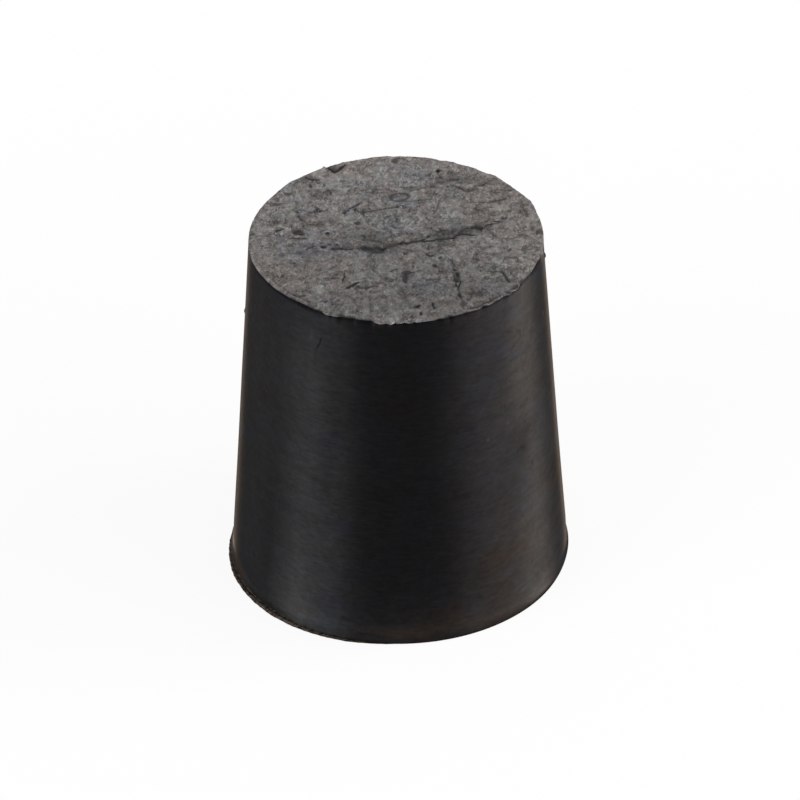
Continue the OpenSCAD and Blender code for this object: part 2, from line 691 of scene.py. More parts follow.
# Fine cuts, scratches and creases
CUTS = (
    Stroke(((-4.3, -7.4), (-3.7, -6.9), (-3.5, -6.6), (-3.1, -6.5)), 0.34, 1.0),
    Stroke(((-4.4, -5.1), (-4.4, -5.7), (-4.6, -6.4)), 0.2, 0.85),
    Stroke(((-3.4, -6.9), (-3.1, -7.3), (-2.6, -7.4), (-2.0, -7.1)), 0.33, 0.7),
    Stroke(((-0.6, -5.0), (0.1, -4.6)), 0.24, 0.8),
    Stroke(((-2.2, -2.8), (-1.9, -3.5), (-1.9, -5.1)), 0.22, 0.38),
    Stroke(((-2.2, -7.4), (-2.2, -8.7), (-2.2, -11.0)), 0.14, 0.38),
    Stroke(((-1.5, -8.3), (-0.9, -9.0)), 0.21, 0.42),
    Stroke(((0.3, -7.2), (0.7, -8.8), (1.2, -10.5)), 0.18, 0.55),
    Stroke(((1.5, -10.3), (1.7, -10.1), (2.0, -10.1)), 0.38, 1.0),
    Stroke(((-0.4, -7.5), (0.0, -6.7)), 0.16, 0.4),
    Stroke(((2.9, -9.6), (3.2, -10.6)), 0.26, 0.95),
    Stroke(((2.4, -6.3), (3.0, -6.2), (3.7, -6.2)), 0.26, 0.55),
    Stroke(((1.4, -6.8), (2.0, -7.0), (2.5, -7.0), (2.9, -6.8)), 0.29, 0.4, -1),
    Stroke(((2.5, -2.4), (2.8, -2.7), (3.2, -2.6)), 0.37, 0.75),
    Stroke(((7.6, -5.1), (8.1, -5.2), (8.6, -5.1)), 0.23, 0.65),
    Stroke(((8.8, -5.0), (9.5, -6.9)), 0.26, 0.8),
    Stroke(((9.0, -3.0), (10.3, -3.2)), 0.21, 0.6),
    Stroke(((8.1, -4.7), (8.5, -4.5)), 0.26, 0.6),
    Stroke(((6.8, -1.3), (7.3, -1.5), (8.3, -1.4)), 0.39, 0.4, 0.5),
    Stroke(((6.0, -7.7), (6.5, -7.6)), 0.28, 0.5),
    Stroke(((9.9, -1.9), (12.0, -1.9)), 0.2, 0.36),
    Stroke(((10.2, 0.3), (10.8, 0.3), (11.3, 0.1)), 0.32, 0.4),
    Stroke(((10.6, 5.6), (11.0, 4.0), (11.2, 3.0)), 0.3, 0.5, 0.8),
    Stroke(((6.9, 5.3), (8.2, 5.4), (8.6, 5.6), (9.1, 5.7), (9.5, 5.9)), 0.28, 0.68),
    Stroke(((8.5, 7.2), (9.9, 7.1)), 0.2, 0.68),
    Stroke(((6.7, 4.5), (7.0, 4.1), (7.5, 4.0)), 0.27, 0.6),
    Stroke(((3.8, 6.0), (3.5, 4.4), (3.2, 3.6)), 0.15, 0.55),
    Stroke(((4.2, 5.9), (5.2, 6.0), (5.8, 5.8), (6.3, 5.3)), 0.18, 0.34),
    Stroke(((4.7, 8.1), (5.4, 7.6), (5.9, 7.1), (6.7, 7.15)), 0.27, 0.66, 0.3),
    Stroke(((4.9, 8.35), (5.4, 8.1), (5.8, 7.7)), 0.28, 0.0, stain=-0.3),
    Stroke(((5.9, 7.4), (6.5, 7.3), (7.2, 7.4)), 0.18, 0.55, 0.8),
    Stroke(((3.6, 7.6), (4.3, 7.6), (4.9, 7.7)), 0.18, 0.32),
    Stroke(((7.1, 7.7), (7.6, 7.9)), 0.27, 0.42),
    Stroke(((4.5, 8.8), (5.5, 8.9)), 0.42, 0.6),
    Stroke(((3.4, 8.4), (3.8, 8.5), (4.3, 8.5)), 0.36, 0.55),
    Stroke(((4.5, 2.5), (5.0, 2.1), (5.6, 2.1)), 0.25, 0.38),
    Stroke(((0.3, 7.8), (0.9, 7.7), (1.3, 7.8), (2.0, 7.8)), 0.23, 0.62),
    Stroke(((1.1, 7.0), (2.0, 7.5), (3.1, 7.8), (4.1, 7.6)), 0.2, 0.5),
    Stroke(((0.7, 5.6), (1.8, 5.7), (3.1, 5.85)), 0.17, 0.56),
    Stroke(((-1.8, 8.0), (-1.2, 8.0)), 0.27, 0.5, 0.4),
    Stroke(((-1.7, 7.5), (-1.0, 7.4)), 0.3, 0.5, 0.4),
    Stroke(((-0.9, 3.2), (-0.4, 3.5)), 0.3, 0.55),
    Stroke(((1.0, 3.2), (1.4, 3.0)), 0.24, 0.4),
    Stroke(((-3.8, 1.5), (-3.3, 1.7)), 0.25, 0.45),
    Stroke(((-2.8, 0.6), (-2.6, 0.0)), 0.23, 0.7),
    Stroke(((-4.8, 0.8), (-4.3, 1.1)), 0.34, 0.48),
    Stroke(((-4.0, 4.6), (-3.0, 5.4)), 0.32, 0.75),
    Stroke(((-4.6, 3.9), (-3.9, 4.4)), 0.27, 0.7),
    Stroke(((-3.5, 4.5), (-3.3, 4.3), (-3.2, 4.0), (-2.7, 4.0), (-2.4, 4.1)), 0.21, 0.68),
    Stroke(((-2.5, 4.1), (-1.9, 4.2), (-0.9, 4.6), (0.1, 4.8), (0.5, 5.0)), 0.22, 0.75),
    Stroke(((0.5, 5.1), (0.7, 4.7), (0.9, 4.6)), 0.24, 0.5),
    Stroke(((0.5, 4.95), (0.9, 5.1), (1.4, 5.25)), 0.2, 0.45),
    Stroke(((-5.8, 7.5), (-5.6, 7.2), (-5.5, 6.8)), 0.22, 0.75),
    Stroke(((-7.75, 9.5), (-7.2, 9.1), (-6.5, 9.1)), 0.42, 0.72, 0.2),
    Stroke(((-7.5, 2.3), (-7.0, 2.2), (-6.5, 2.3)), 0.3, 0.58, 0.3),
    Stroke(((-7.3, 2.3), (-6.8, 2.7), (-6.2, 2.8), (-5.5, 2.7)), 0.25, 0.34),
    Stroke(((-5.6, 3.3), (-5.1, 2.4)), 0.2, 0.45),
    Stroke(((-8.3, 3.5), (-8.0, 2.9), (-7.5, 2.3)), 0.22, 0.56, 0.4),
    Stroke(((-10.7, 3.4), (-10.0, 3.2)), 0.22, 0.36),
    Stroke(((-10.5, 2.8), (-9.8, 2.6)), 0.22, 0.34),
    Stroke(((-10.2, 1.3), (-9.5, 1.7)), 0.36, 0.9),
    Stroke(((-8.9, 0.25), (-8.2, 0.1), (-7.5, 0.2)), 0.27, 0.8),
    Stroke(((-12.5, 0.8), (-11.8, 0.6), (-11.1, 0.6), (-10.2, 0.3)), 0.19, 0.42),
    Stroke(((-10.9, -5.5), (-10.1, -5.7), (-8.7, -5.5)), 0.21, 0.34),
    Stroke(((-8.8, -8.2), (-8.2, -8.5), (-7.6, -8.35)), 0.34, 0.65),
    Stroke(((-8.1, -7.8), (-7.6, -7.7), (-7.1, -8.2)), 0.27, 0.5),
    Stroke(((-7.4, -6.9), (-7.1, -7.4)), 0.18, 0.5),
    Stroke(((-6.6, -9.3), (-5.8, -9.3)), 0.18, 0.6),
    Stroke(((-7.0, -4.7), (-6.3, -4.6)), 0.45, 0.4, 0.3),
    Stroke(((-7.7, -3.6), (-7.7, -4.9)), 0.19, 0.3),
    Stroke(((1.2, 7.7), (1.5, 7.3)), 0.19, 0.3),
    Stroke(((-5.9, 11.15), (-5.25, 10.25), (-4.3, 11.3)), 0.42, 0.9, 0.6),
)
# Thin lines and pale strips along the rim, and pale curls
EDGES = (
    Stroke(((-12.1, -1.6), (-11.8, -3.2), (-11.0, -5.1), (-10.1, -6.5), (-9.3, -7.7)), 0.14, 0.24),
    Stroke(((-9.4, -7.5), (-8.9, -8.1), (-8.3, -8.7), (-7.7, -9.2), (-7.2, -9.5)), 0.22, 0.4),
    Stroke(((-12.2, -2.4), (-11.3, -5.1), (-10.3, -6.8), (-8.7, -8.8), (-7.2, -10.0)), 0.3, 0.0, stain=-0.2),
    Stroke(((5.9, -10.7), (6.4, -10.4), (7.0, -10.2), (7.4, -9.7)), 0.24, 0.75),
    Stroke(((7.4, -9.7), (7.9, -9.3), (8.4, -8.9), (8.8, -8.5)), 0.2, 0.6),
    Stroke(((9.5, -7.7), (9.8, -7.4), (10.1, -7.1)), 0.2, 0.8),
    Stroke(((5.9, -10.9), (7.5, -9.9), (8.6, -9.0)), 0.14, 0.0, stain=-0.2),
    Stroke(((9.5, -7.9), (9.75, -7.65), (10.0, -7.3)), 0.16, 0.0, stain=-0.5),
    Stroke(((-3.9, -6.6), (-3.5, -6.4), (-3.0, -6.3)), 0.14, 0.0, stain=-0.5),
    Stroke(((-3.0, -7.5), (-2.5, -7.7), (-2.0, -7.6)), 0.2, 0.0, stain=-0.5),
    Stroke(((-6.8, -7.0), (-6.4, -8.0), (-6.2, -8.7)), 0.16, 0.0, stain=-0.3),
    Stroke(((-7.0, -6.6), (-6.0, -7.2)), 0.2, 0.0, stain=-0.3),
    Stroke(
        ((-7.9, -6.2), (-7.6, -6.8), (-7.4, -7.2), (-7.1, -6.8), (-6.9, -6.4)),
        0.18,
        0.0,
        0.4,
        stain=-0.32,
    ),
)
# Pits and dark specks
PITS = (
    Spot((4.85, -4.8), 0.18, 0.22, dark=1.0),
    Spot((5.05, -5.8), 0.3, 0.9, dark=0.78, soft=0.35),
    Spot((5.15, -5.45), 0.24, 0.4, dark=0.95),
    Spot((4.95, -6.3), 0.26, 0.35, dark=0.85),
    Spot((5.27, -8.5), 0.18, 0.28, dark=1.0),
    Spot((5.5, -9.9), 0.26, 0.45, dark=0.55),
    Spot((6.3, -8.3), 0.3, 0.14, dark=0.55),
    Spot((7.54, -9.6), 0.14, 0.16, dark=0.8),
    Spot((7.87, -9.3), 0.14, 0.16, dark=0.75),
    Spot((9.2, -8.2), 0.22, 0.2, turn=-42, dark=0.75),
    Spot((7.2, -10.2), 0.16, 0.14, turn=-55, dark=0.8),
    Spot((-2.6, -1.5), 0.34, 0.34, dark=1.0, deep=0.15),
    Spot((-1.1, -1.6), 0.3, 0.42, dark=1.0, deep=0.15),
    Spot((-2.0, -1.9), 0.2, 0.44, dark=0.85, deep=0.1),
    Spot((-1.6, -1.85), 0.72, 0.44, dark=0.88, soft=0.45, deep=0.08),
    Spot((-4.75, -1.4), 0.34, 0.24, dark=0.9),
    Spot((-6.15, -1.15), 0.44, 0.42, stain=-0.22, hollow=True, soft=0.3),
    Spot((-1.75, -0.7), 0.6, 0.2, stain=-0.2, soft=0.5),
    Spot((0.4, -0.8), 0.2, 0.24, dark=1.0),
    Spot((1.1, -0.7), 0.24, 0.2, dark=0.9),
    Spot((-2.8, -0.1), 0.2, 0.2, dark=0.55),
    Spot((3.64, 10.25), 0.18, 0.31, dark=1.0, deep=1.5),
    Spot((-8.3, 1.17), 0.64, 0.45, turn=-28, dark=0.92, warmth=0.6),
    Spot((-9.86, 1.5), 0.66, 0.58, turn=14, stain=-0.5, hollow=True, soft=0.25),
    Spot((-8.2, 0.5), 0.38, 0.12, turn=-5, stain=-0.25),
    Spot((-5.8, 0.9), 0.2, 0.21, dark=1.0),
    Spot((-6.3, -0.6), 0.19, 0.21, dark=0.6),
    Spot((-6.2, -1.15), 0.26, 0.25, dark=0.95, warmth=-0.6),
    Spot((-5.35, -1.45), 0.22, 0.22, dark=0.8),
    Spot((-8.2, -2.0), 0.22, 0.18, dark=0.55, warmth=-0.6),
    Spot((-7.5, -3.3), 0.29, 0.3, turn=-25, dark=0.55),
    Spot((-6.8, -1.9), 0.29, 0.18, dark=0.42),
    Spot((-4.8, -3.3), 0.27, 0.24, dark=0.45),
    Spot((-3.3, 2.4), 0.29, 0.25, turn=-8, dark=0.82),
    Spot((-4.4, 4.0), 0.2, 0.27, dark=0.85),
    Spot((-3.4, 4.5), 0.17, 0.2, dark=0.8),
    Spot((0.1, 4.8), 0.17, 0.17, dark=0.85),
    Spot((-2.4, 2.5), 0.17, 0.21, dark=0.5),
    Spot((-1.8, 0.4), 0.15, 0.2, dark=0.6),
    Spot((-2.2, 0.4), 0.15, 0.2, dark=0.6),
    Spot((-2.0, 7.0), 0.14, 0.27, dark=0.65, warmth=0.2),
    Spot((0.8, 8.5), 0.29, 0.17, dark=0.58),
    Spot((3.1, 7.8), 0.25, 0.27, dark=0.62, warmth=0.3),
    Spot((2.7, 0.2), 0.2, 0.2, dark=1.0),
    Spot((4.0, 0.5), 0.16, 0.2, dark=0.75),
    Spot((4.7, 0.8), 0.15, 0.18, dark=0.75, warmth=-1),
    Spot((3.7, -0.5), 0.25, 0.15, dark=0.75),
    Spot((-8.4, 4.2), 0.22, 0.2, turn=-5, dark=0.78),
    Spot((-7.3, 4.1), 0.17, 0.24, turn=-30, dark=0.6),
    Spot((-8.8, 4.5), 0.19, 0.18, turn=-30, dark=0.45),
    Spot((-7.3, 8.15), 0.2, 0.24, dark=0.82),
    Spot((-9.2, 6.95), 0.32, 0.2, dark=0.68, warmth=0.3),
    Spot((-7.4, 7.4), 0.14, 0.2, dark=0.5),
    Spot((-6.7, 7.4), 0.19, 0.2, dark=0.5),
    Spot((-6.3, 7.0), 0.17, 0.18, dark=0.5),
    Spot((-5.9, 6.8), 0.14, 0.15, dark=0.45),
    Spot((-10.2, 5.38), 0.46, 0.26, dark=0.68, warmth=0.6),
    Spot((-9.7, 4.1), 0.15, 0.18, dark=0.38),
    Spot((-9.3, 3.8), 0.14, 0.2, dark=0.4),
    Spot((-7.3, 1.4), 0.19, 0.23, dark=0.38),
    Spot((-4.6, 8.9), 0.25, 0.18, dark=0.45, warmth=0.3),
    Spot((-2.3, 8.7), 0.22, 0.18, turn=-15, dark=0.42, warmth=-0.8),
    Spot((4.0, 4.7), 0.13, 0.18, dark=0.48),
    Spot((5.5, 4.9), 0.17, 0.39, dark=0.34, warmth=0.3),
    Spot((0.7, -2.3), 0.2, 0.21, dark=0.75, warmth=0.5),
    Spot((1.3, -1.9), 0.13, 0.17, dark=0.45, warmth=0.3),
    Spot((0.4, -3.1), 0.19, 0.18, dark=0.55, warmth=0.3),
    Spot((1.4, -4.2), 0.14, 0.2, dark=0.68, warmth=0.3),
    Spot((0.8, -5.2), 0.46, 0.36, dark=0.82, warmth=-0.2, soft=0.35),
    Spot((0.7, -6.1), 0.25, 0.66, dark=0.85, warmth=-0.2, soft=0.35),
    Spot((1.4, -7.2), 0.17, 0.21, dark=0.6),
    Spot((1.2, -8.2), 0.15, 0.18, dark=0.5),
    Spot((1.9, -8.3), 0.38, 0.2, dark=0.42),
    Spot((3.2, -4.2), 0.27, 0.24, turn=-8, dark=0.85),
    Spot((3.7, -3.0), 0.19, 0.2, dark=0.88),
    Spot((4.1, -3.1), 0.13, 0.15, dark=0.45),
    Spot((2.7, -3.8), 0.17, 0.15, dark=0.42),
    Spot((5.4, -3.2), 0.16, 0.15, dark=0.45),
    Spot((8.7, -5.2), 0.16, 0.21, dark=0.62),
    Spot((9.9, -5.8), 0.2, 0.27, dark=0.42),
    Spot((6.8, -8.4), 0.51, 0.33, dark=0.42, soft=0.6),
    Spot((6.0, -9.3), 0.2, 0.18, dark=0.6),
    Spot((5.6, -9.7), 0.2, 0.21, turn=20, dark=0.5),
    Spot((4.2, -9.7), 0.17, 0.21, dark=0.42),
    Spot((2.0, -11.2), 0.17, 0.26, dark=1.0),
    Spot((-2.2, -10.8), 0.2, 0.2, dark=0.5),
    Spot((-5.1, -8.0), 0.25, 0.23, dark=0.4),
    Spot((-4.6, -10.8), 0.19, 0.18, dark=0.42),
    Spot((-9.5, -6.4), 0.34, 0.23, dark=0.4),
    Spot((-9.7, -2.2), 0.29, 0.27, dark=0.38),
    Spot((-9.1, -2.0), 0.2, 0.21, dark=0.42, warmth=-0.6),
    Spot((7.6, -0.8), 0.15, 0.2, dark=0.45),
    Spot((8.1, 0.7), 0.17, 0.23, dark=0.42),
    Spot((12.0, 0.6), 0.13, 0.21, dark=0.65),
    Spot((9.7, 4.6), 0.14, 0.17, dark=0.5),
    Spot((9.7, 2.7), 0.13, 0.17, dark=0.42),
    Spot((9.2, 8.1), 0.15, 0.18, dark=0.55, warmth=0.4),
    Spot((-0.1, 11.9), 0.27, 0.33, dark=0.72, warmth=0.5),
    Spot((-5.3, 10.65), 0.4, 0.32, dark=0.55, warmth=0.8, soft=0.5),
    Spot((-6.05, 2.3), 0.64, 0.42, dark=0.42, warmth=0.7, hollow=True, soft=0.28),
)
# Broad patches, paler and darker, warmer and colder, some of them painted light
PATCHES = (
    Spot((0.34, 6.25), 0.78, 0.58, turn=18, dark=0.8, hollow=True, soft=0.22),
    Spot((0.34, 6.25), 0.62, 0.42, turn=18, stain=0.12),
    Spot((0.0, 0.0), 12.5, 12.5, stain=-0.06, warmth=0.4, hollow=True, soft=0.14),
    Spot((-8.6, 5.2), 5.0, 3.4, turn=40, stain=-0.12, warmth=-0.25, soft=0.9),
    Spot((-4.5, 4.8), 1.8, 1.5, stain=-0.12, soft=0.9),
    Spot((2.0, 10.5), 6.5, 2.2, stain=-0.11, soft=0.9),
    Spot((-4.5, 10.6), 2.0, 1.2, stain=-0.06, warmth=0.5, soft=0.9),
    Spot((1.5, 2.6), 2.6, 2.0, stain=-0.12, warmth=-0.3, soft=0.9),
    Spot((8.6, 1.4), 2.6, 2.4, stain=-0.08, soft=0.9),
    Spot((9.8, -4.5), 1.6, 2.2, stain=-0.06, soft=0.9),
    Spot((7.8, -7.4), 2.4, 1.8, stain=0.13, soft=0.9),
    Spot((-3.2, -10.6), 3.0, 1.6, stain=0.09, warmth=-0.6, soft=0.9),
    Spot((-8.6, -4.6), 3.2, 2.6, warmth=0.6, soft=0.9),
    Spot((8.4, 7.2), 2.4, 2.2, warmth=0.6, soft=0.9),
    Spot((-1.2, -1.6), 4.5, 2.2, turn=4, stain=0.12, soft=0.9),
    # Painted shade: the front of the face drawn darker, as light falling from behind would leave it
    Spot((1.5, -9.0), 10.0, 4.5, stain=0.14, soft=0.9),
    Spot((4.5, -10.0), 4.0, 3.0, stain=0.12, soft=0.9),
    Spot((2.8, -5.5), 3.0, 2.5, stain=0.08, warmth=-0.3, soft=0.9),
    Spot((6.3, 2.8), 3.0, 1.6, turn=15, stain=0.13, soft=0.9),
    Spot((4.6, 0.8), 1.6, 0.6, turn=18, stain=0.34, warmth=-0.4, soft=0.7),
    Spot((7.0, 1.0), 0.9, 0.5, stain=0.25, soft=0.7),
    Spot((3.9, -0.7), 0.9, 0.35, turn=-14, stain=0.25, soft=0.6),
    Spot((-1.8, 0.1), 1.2, 0.5, stain=0.22, soft=0.7),
    Spot((-1.7, -1.5), 1.4, 0.8, stain=0.25, soft=0.8),
    Spot((-0.35, -0.95), 0.7, 0.35, stain=0.3, warmth=1.2, soft=0.7),
    Spot((4.6, 0.8), 1.3, 0.5, turn=12, stain=0.16, soft=0.7),
    Spot((-4.2, -0.2), 1.0, 0.9, stain=0.16, soft=0.8),
    Spot((-1.8, -0.5), 0.9, 0.3, turn=-8, stain=0.2, soft=0.6),
    Spot((-1.9, -5.6), 1.1, 1.3, stain=0.08, warmth=-0.3, soft=0.7),
    Spot((-7.7, -2.0), 2.4, 1.0, turn=8, stain=0.16, warmth=-1.0, soft=0.8),
    Spot((-6.2, -1.2), 1.6, 0.8, stain=0.10, warmth=-1.0, soft=0.8),
    Spot((-8.6, -2.6), 0.6, 0.35, stain=-0.25, warmth=-1.0, soft=0.7),
    Spot((2.3, -7.3), 1.6, 0.8, stain=0.05, warmth=-1.0, soft=0.7),
    Spot((8.0, -7.6), 1.3, 0.7, warmth=-0.9, soft=0.7),
    Spot((-0.6, 1.6), 1.0, 1.6, stain=0.06, warmth=-0.7, soft=0.8),
    Spot((1.4, 9.6), 1.3, 1.3, stain=0.04, warmth=-0.8, soft=0.7),
    Spot((-2.7, 8.3), 1.0, 0.6, warmth=-0.7, soft=0.8),
    Spot((0.9, -3.2), 0.7, 1.0, stain=-0.06, warmth=1.0, soft=0.6),
    Spot((-9.5, 2.5), 2.4, 3.4, warmth=0.1, soft=0.8),
    Spot((-6.2, 2.4), 1.2, 0.9, stain=0.12, warmth=0.7, soft=0.6),
    Spot((-4.4, -5.0), 0.9, 2.4, warmth=0.6, soft=0.7),
    Spot((-2.9, -10.0), 0.8, 1.0, warmth=0.7, soft=0.6),
    Spot((9.2, 1.0), 2.6, 2.6, warmth=0.5, soft=0.9),
    Spot((7.0, 3.6), 1.6, 1.4, warmth=0.6, soft=0.8),
    Spot((2.6, 6.6), 0.7, 0.8, warmth=0.8, soft=0.6),
    Spot((-6.6, 7.1), 1.5, 0.7, turn=8, stain=0.22, soft=0.6),
    Spot((5.2, 9.0), 2.6, 0.7, turn=-4, stain=0.3, soft=0.7),
    Spot((6.8, -8.3), 0.9, 0.6, stain=0.20, soft=0.6),
    Spot((-3.7, 0.6), 1.2, 0.9, stain=0.14, soft=0.8),
    Spot((-5.0, 10.9), 0.6, 0.5, stain=0.36, warmth=1.0, soft=0.5),
    Spot((-1.4, -7.0), 0.26, 0.10, turn=-25, stain=-0.9, soft=0.6),
    Spot((-1.9, -6.8), 0.30, 0.09, turn=-10, stain=-0.5, soft=0.6),
    Spot((-2.9, -7.7), 0.34, 0.13, stain=-0.35, soft=0.6),
    Spot((-0.8, -7.1), 0.20, 0.10, turn=20, stain=-0.5, soft=0.6),
    Spot((3.0, -5.8), 0.45, 0.09, turn=4, stain=-0.4, soft=0.6),
    Spot((2.2, 8.3), 0.7, 0.3, turn=35, stain=-0.18, soft=0.7),
    Spot((5.3, 4.7), 0.5, 0.2, turn=30, stain=-0.28, soft=0.7),
    Spot((5.3, 8.0), 0.6, 0.14, turn=-30, stain=-0.25, warmth=0.8, soft=0.6),
    Spot((6.1, 1.9), 0.34, 0.16, turn=-40, stain=-0.35, soft=0.6),
    # Painted light: the back of the face drawn paler
    Spot((0.0, 9.0), 15.0, 9.0, stain=-0.05, soft=0.9),
    Spot((-1.5, 7.5), 1.8, 1.6, stain=-0.06, soft=0.9),
    Spot((1.5, 1.5), 1.8, 1.6, stain=-0.07, soft=0.9),
    Spot((7.5, 4.5), 1.8, 1.6, stain=-0.05, soft=0.9),
    Spot((-10.5, 3.0), 1.8, 2.4, stain=-0.05, soft=0.9),
    Spot((10.5, -4.5), 1.4, 1.6, stain=-0.08, soft=0.9),
    Spot((-4.5, 10.5), 1.8, 1.4, stain=-0.05, soft=0.9),
    Spot((6.0, -1.5), 1.8, 1.6, stain=0.05, soft=0.9),
    Spot((-4.0, -4.5), 2.4, 1.6, stain=0.04, soft=0.9),
    Spot((-1.5, -10.5), 1.6, 1.6, stain=0.05, soft=0.9),
    Spot((4.5, -10.5), 1.6, 1.6, stain=0.05, soft=0.9),
)


# ---------------------------------------------------------------------------------------------
# The stopper
# ---------------------------------------------------------------------------------------------


@dataclass
class Casting:
    """The one closed skin, which grows ring by ring from the narrow face to the wide end."""

    mesh: bmesh.types.BMesh = field(default_factory=bmesh.new)
    edge: list[bmesh.types.BMEdge] = field(default_factory=list)
    ring: list[bmesh.types.BMVert] = field(default_factory=list)
    radius: float = 0.0
    height: float = 0.0

    def lay_disc(self, radius: float, height: float, cells: int) -> None:
        """Starts with a disc, made of a square grid whose outline is drawn out to a circle.

        Args:
            radius: The disc's radius.
            height: Its height above the ground.
            cells: How many cells the grid has each way.
        """
        bmesh.ops.create_grid(self.mesh, x_segments=cells, y_segments=cells, size=1.0)
        for vert in self.mesh.verts:
            reach = max(abs(vert.co.x), abs(vert.co.y))
            if reach < SLIGHT:
                vert.co = (0.0, 0.0, height)
                continue
            lying = abs(vert.co.x) >= abs(vert.co.y)
            lean = (vert.co.y / vert.co.x if lying else vert.co.x / vert.co.y) * math.pi / 4
            near, far = math.cos(lean) * radius, math.sin(lean) * radius
            near, far = (near * vert.co.x, far * vert.co.x) if lying else (near * vert.co.y, far * vert.co.y)
            vert.co = (near, far, height) if lying else (far, near, height)
        self.edge = [e for e in self.mesh.edges if e.is_boundary]
        self.ring = [v for v in self.mesh.verts if v.is_boundary]
        self.radius, self.height = radius, height

    def refine(self, wanted: np.ndarray) -> None:
        """Halves the cells of the disc round the points that need it.

        Args:
            wanted: Whether each point needs it, in the mesh's order.
        """
        self.mesh.verts.ensure_lookup_table()
        inner = (e for e in self.mesh.edges if not e.is_boundary)
        near = [e for e in inner if wanted[e.verts[0].index] and wanted[e.verts[1].index]]
        bmesh.ops.subdivide_edges(self.mesh, edges=near, cuts=1, use_grid_fill=True)

    def pull(self, radius: float, height: float, zone: Zone) -> None:
        """Draws the open edge out to a new ring.

        Args:
            radius: The new ring's radius.
            height: Its height above the ground.
            zone: The part of the skin that this strip belongs to.
        """
        grown = bmesh.ops.extrude_edge_only(self.mesh, edges=self.edge)["geom"]
        self.ring = [g for g in grown if isinstance(g, bmesh.types.BMVert)]
        fresh = set(self.ring)
        edges = (g for g in grown if isinstance(g, bmesh.types.BMEdge))
        self.edge = [e for e in edges if e.verts[0] in fresh and e.verts[1] in fresh]
        for strip in (g for g in grown if isinstance(g, bmesh.types.BMFace)):
            strip.material_index = zone.value
        share = radius / self.radius
        bmesh.ops.scale(self.mesh, vec=(share, share, 1.0), verts=self.ring)
        bmesh.ops.translate(self.mesh, vec=(0.0, 0.0, height - self.height), verts=self.ring)
        self.radius, self.height = radius, height

    def close(self) -> None:
        """Draws the open edge together in one point."""
        bmesh.ops.pointmerge(self.mesh, verts=self.ring, merge_co=Vector((0.0, 0.0, self.height)))


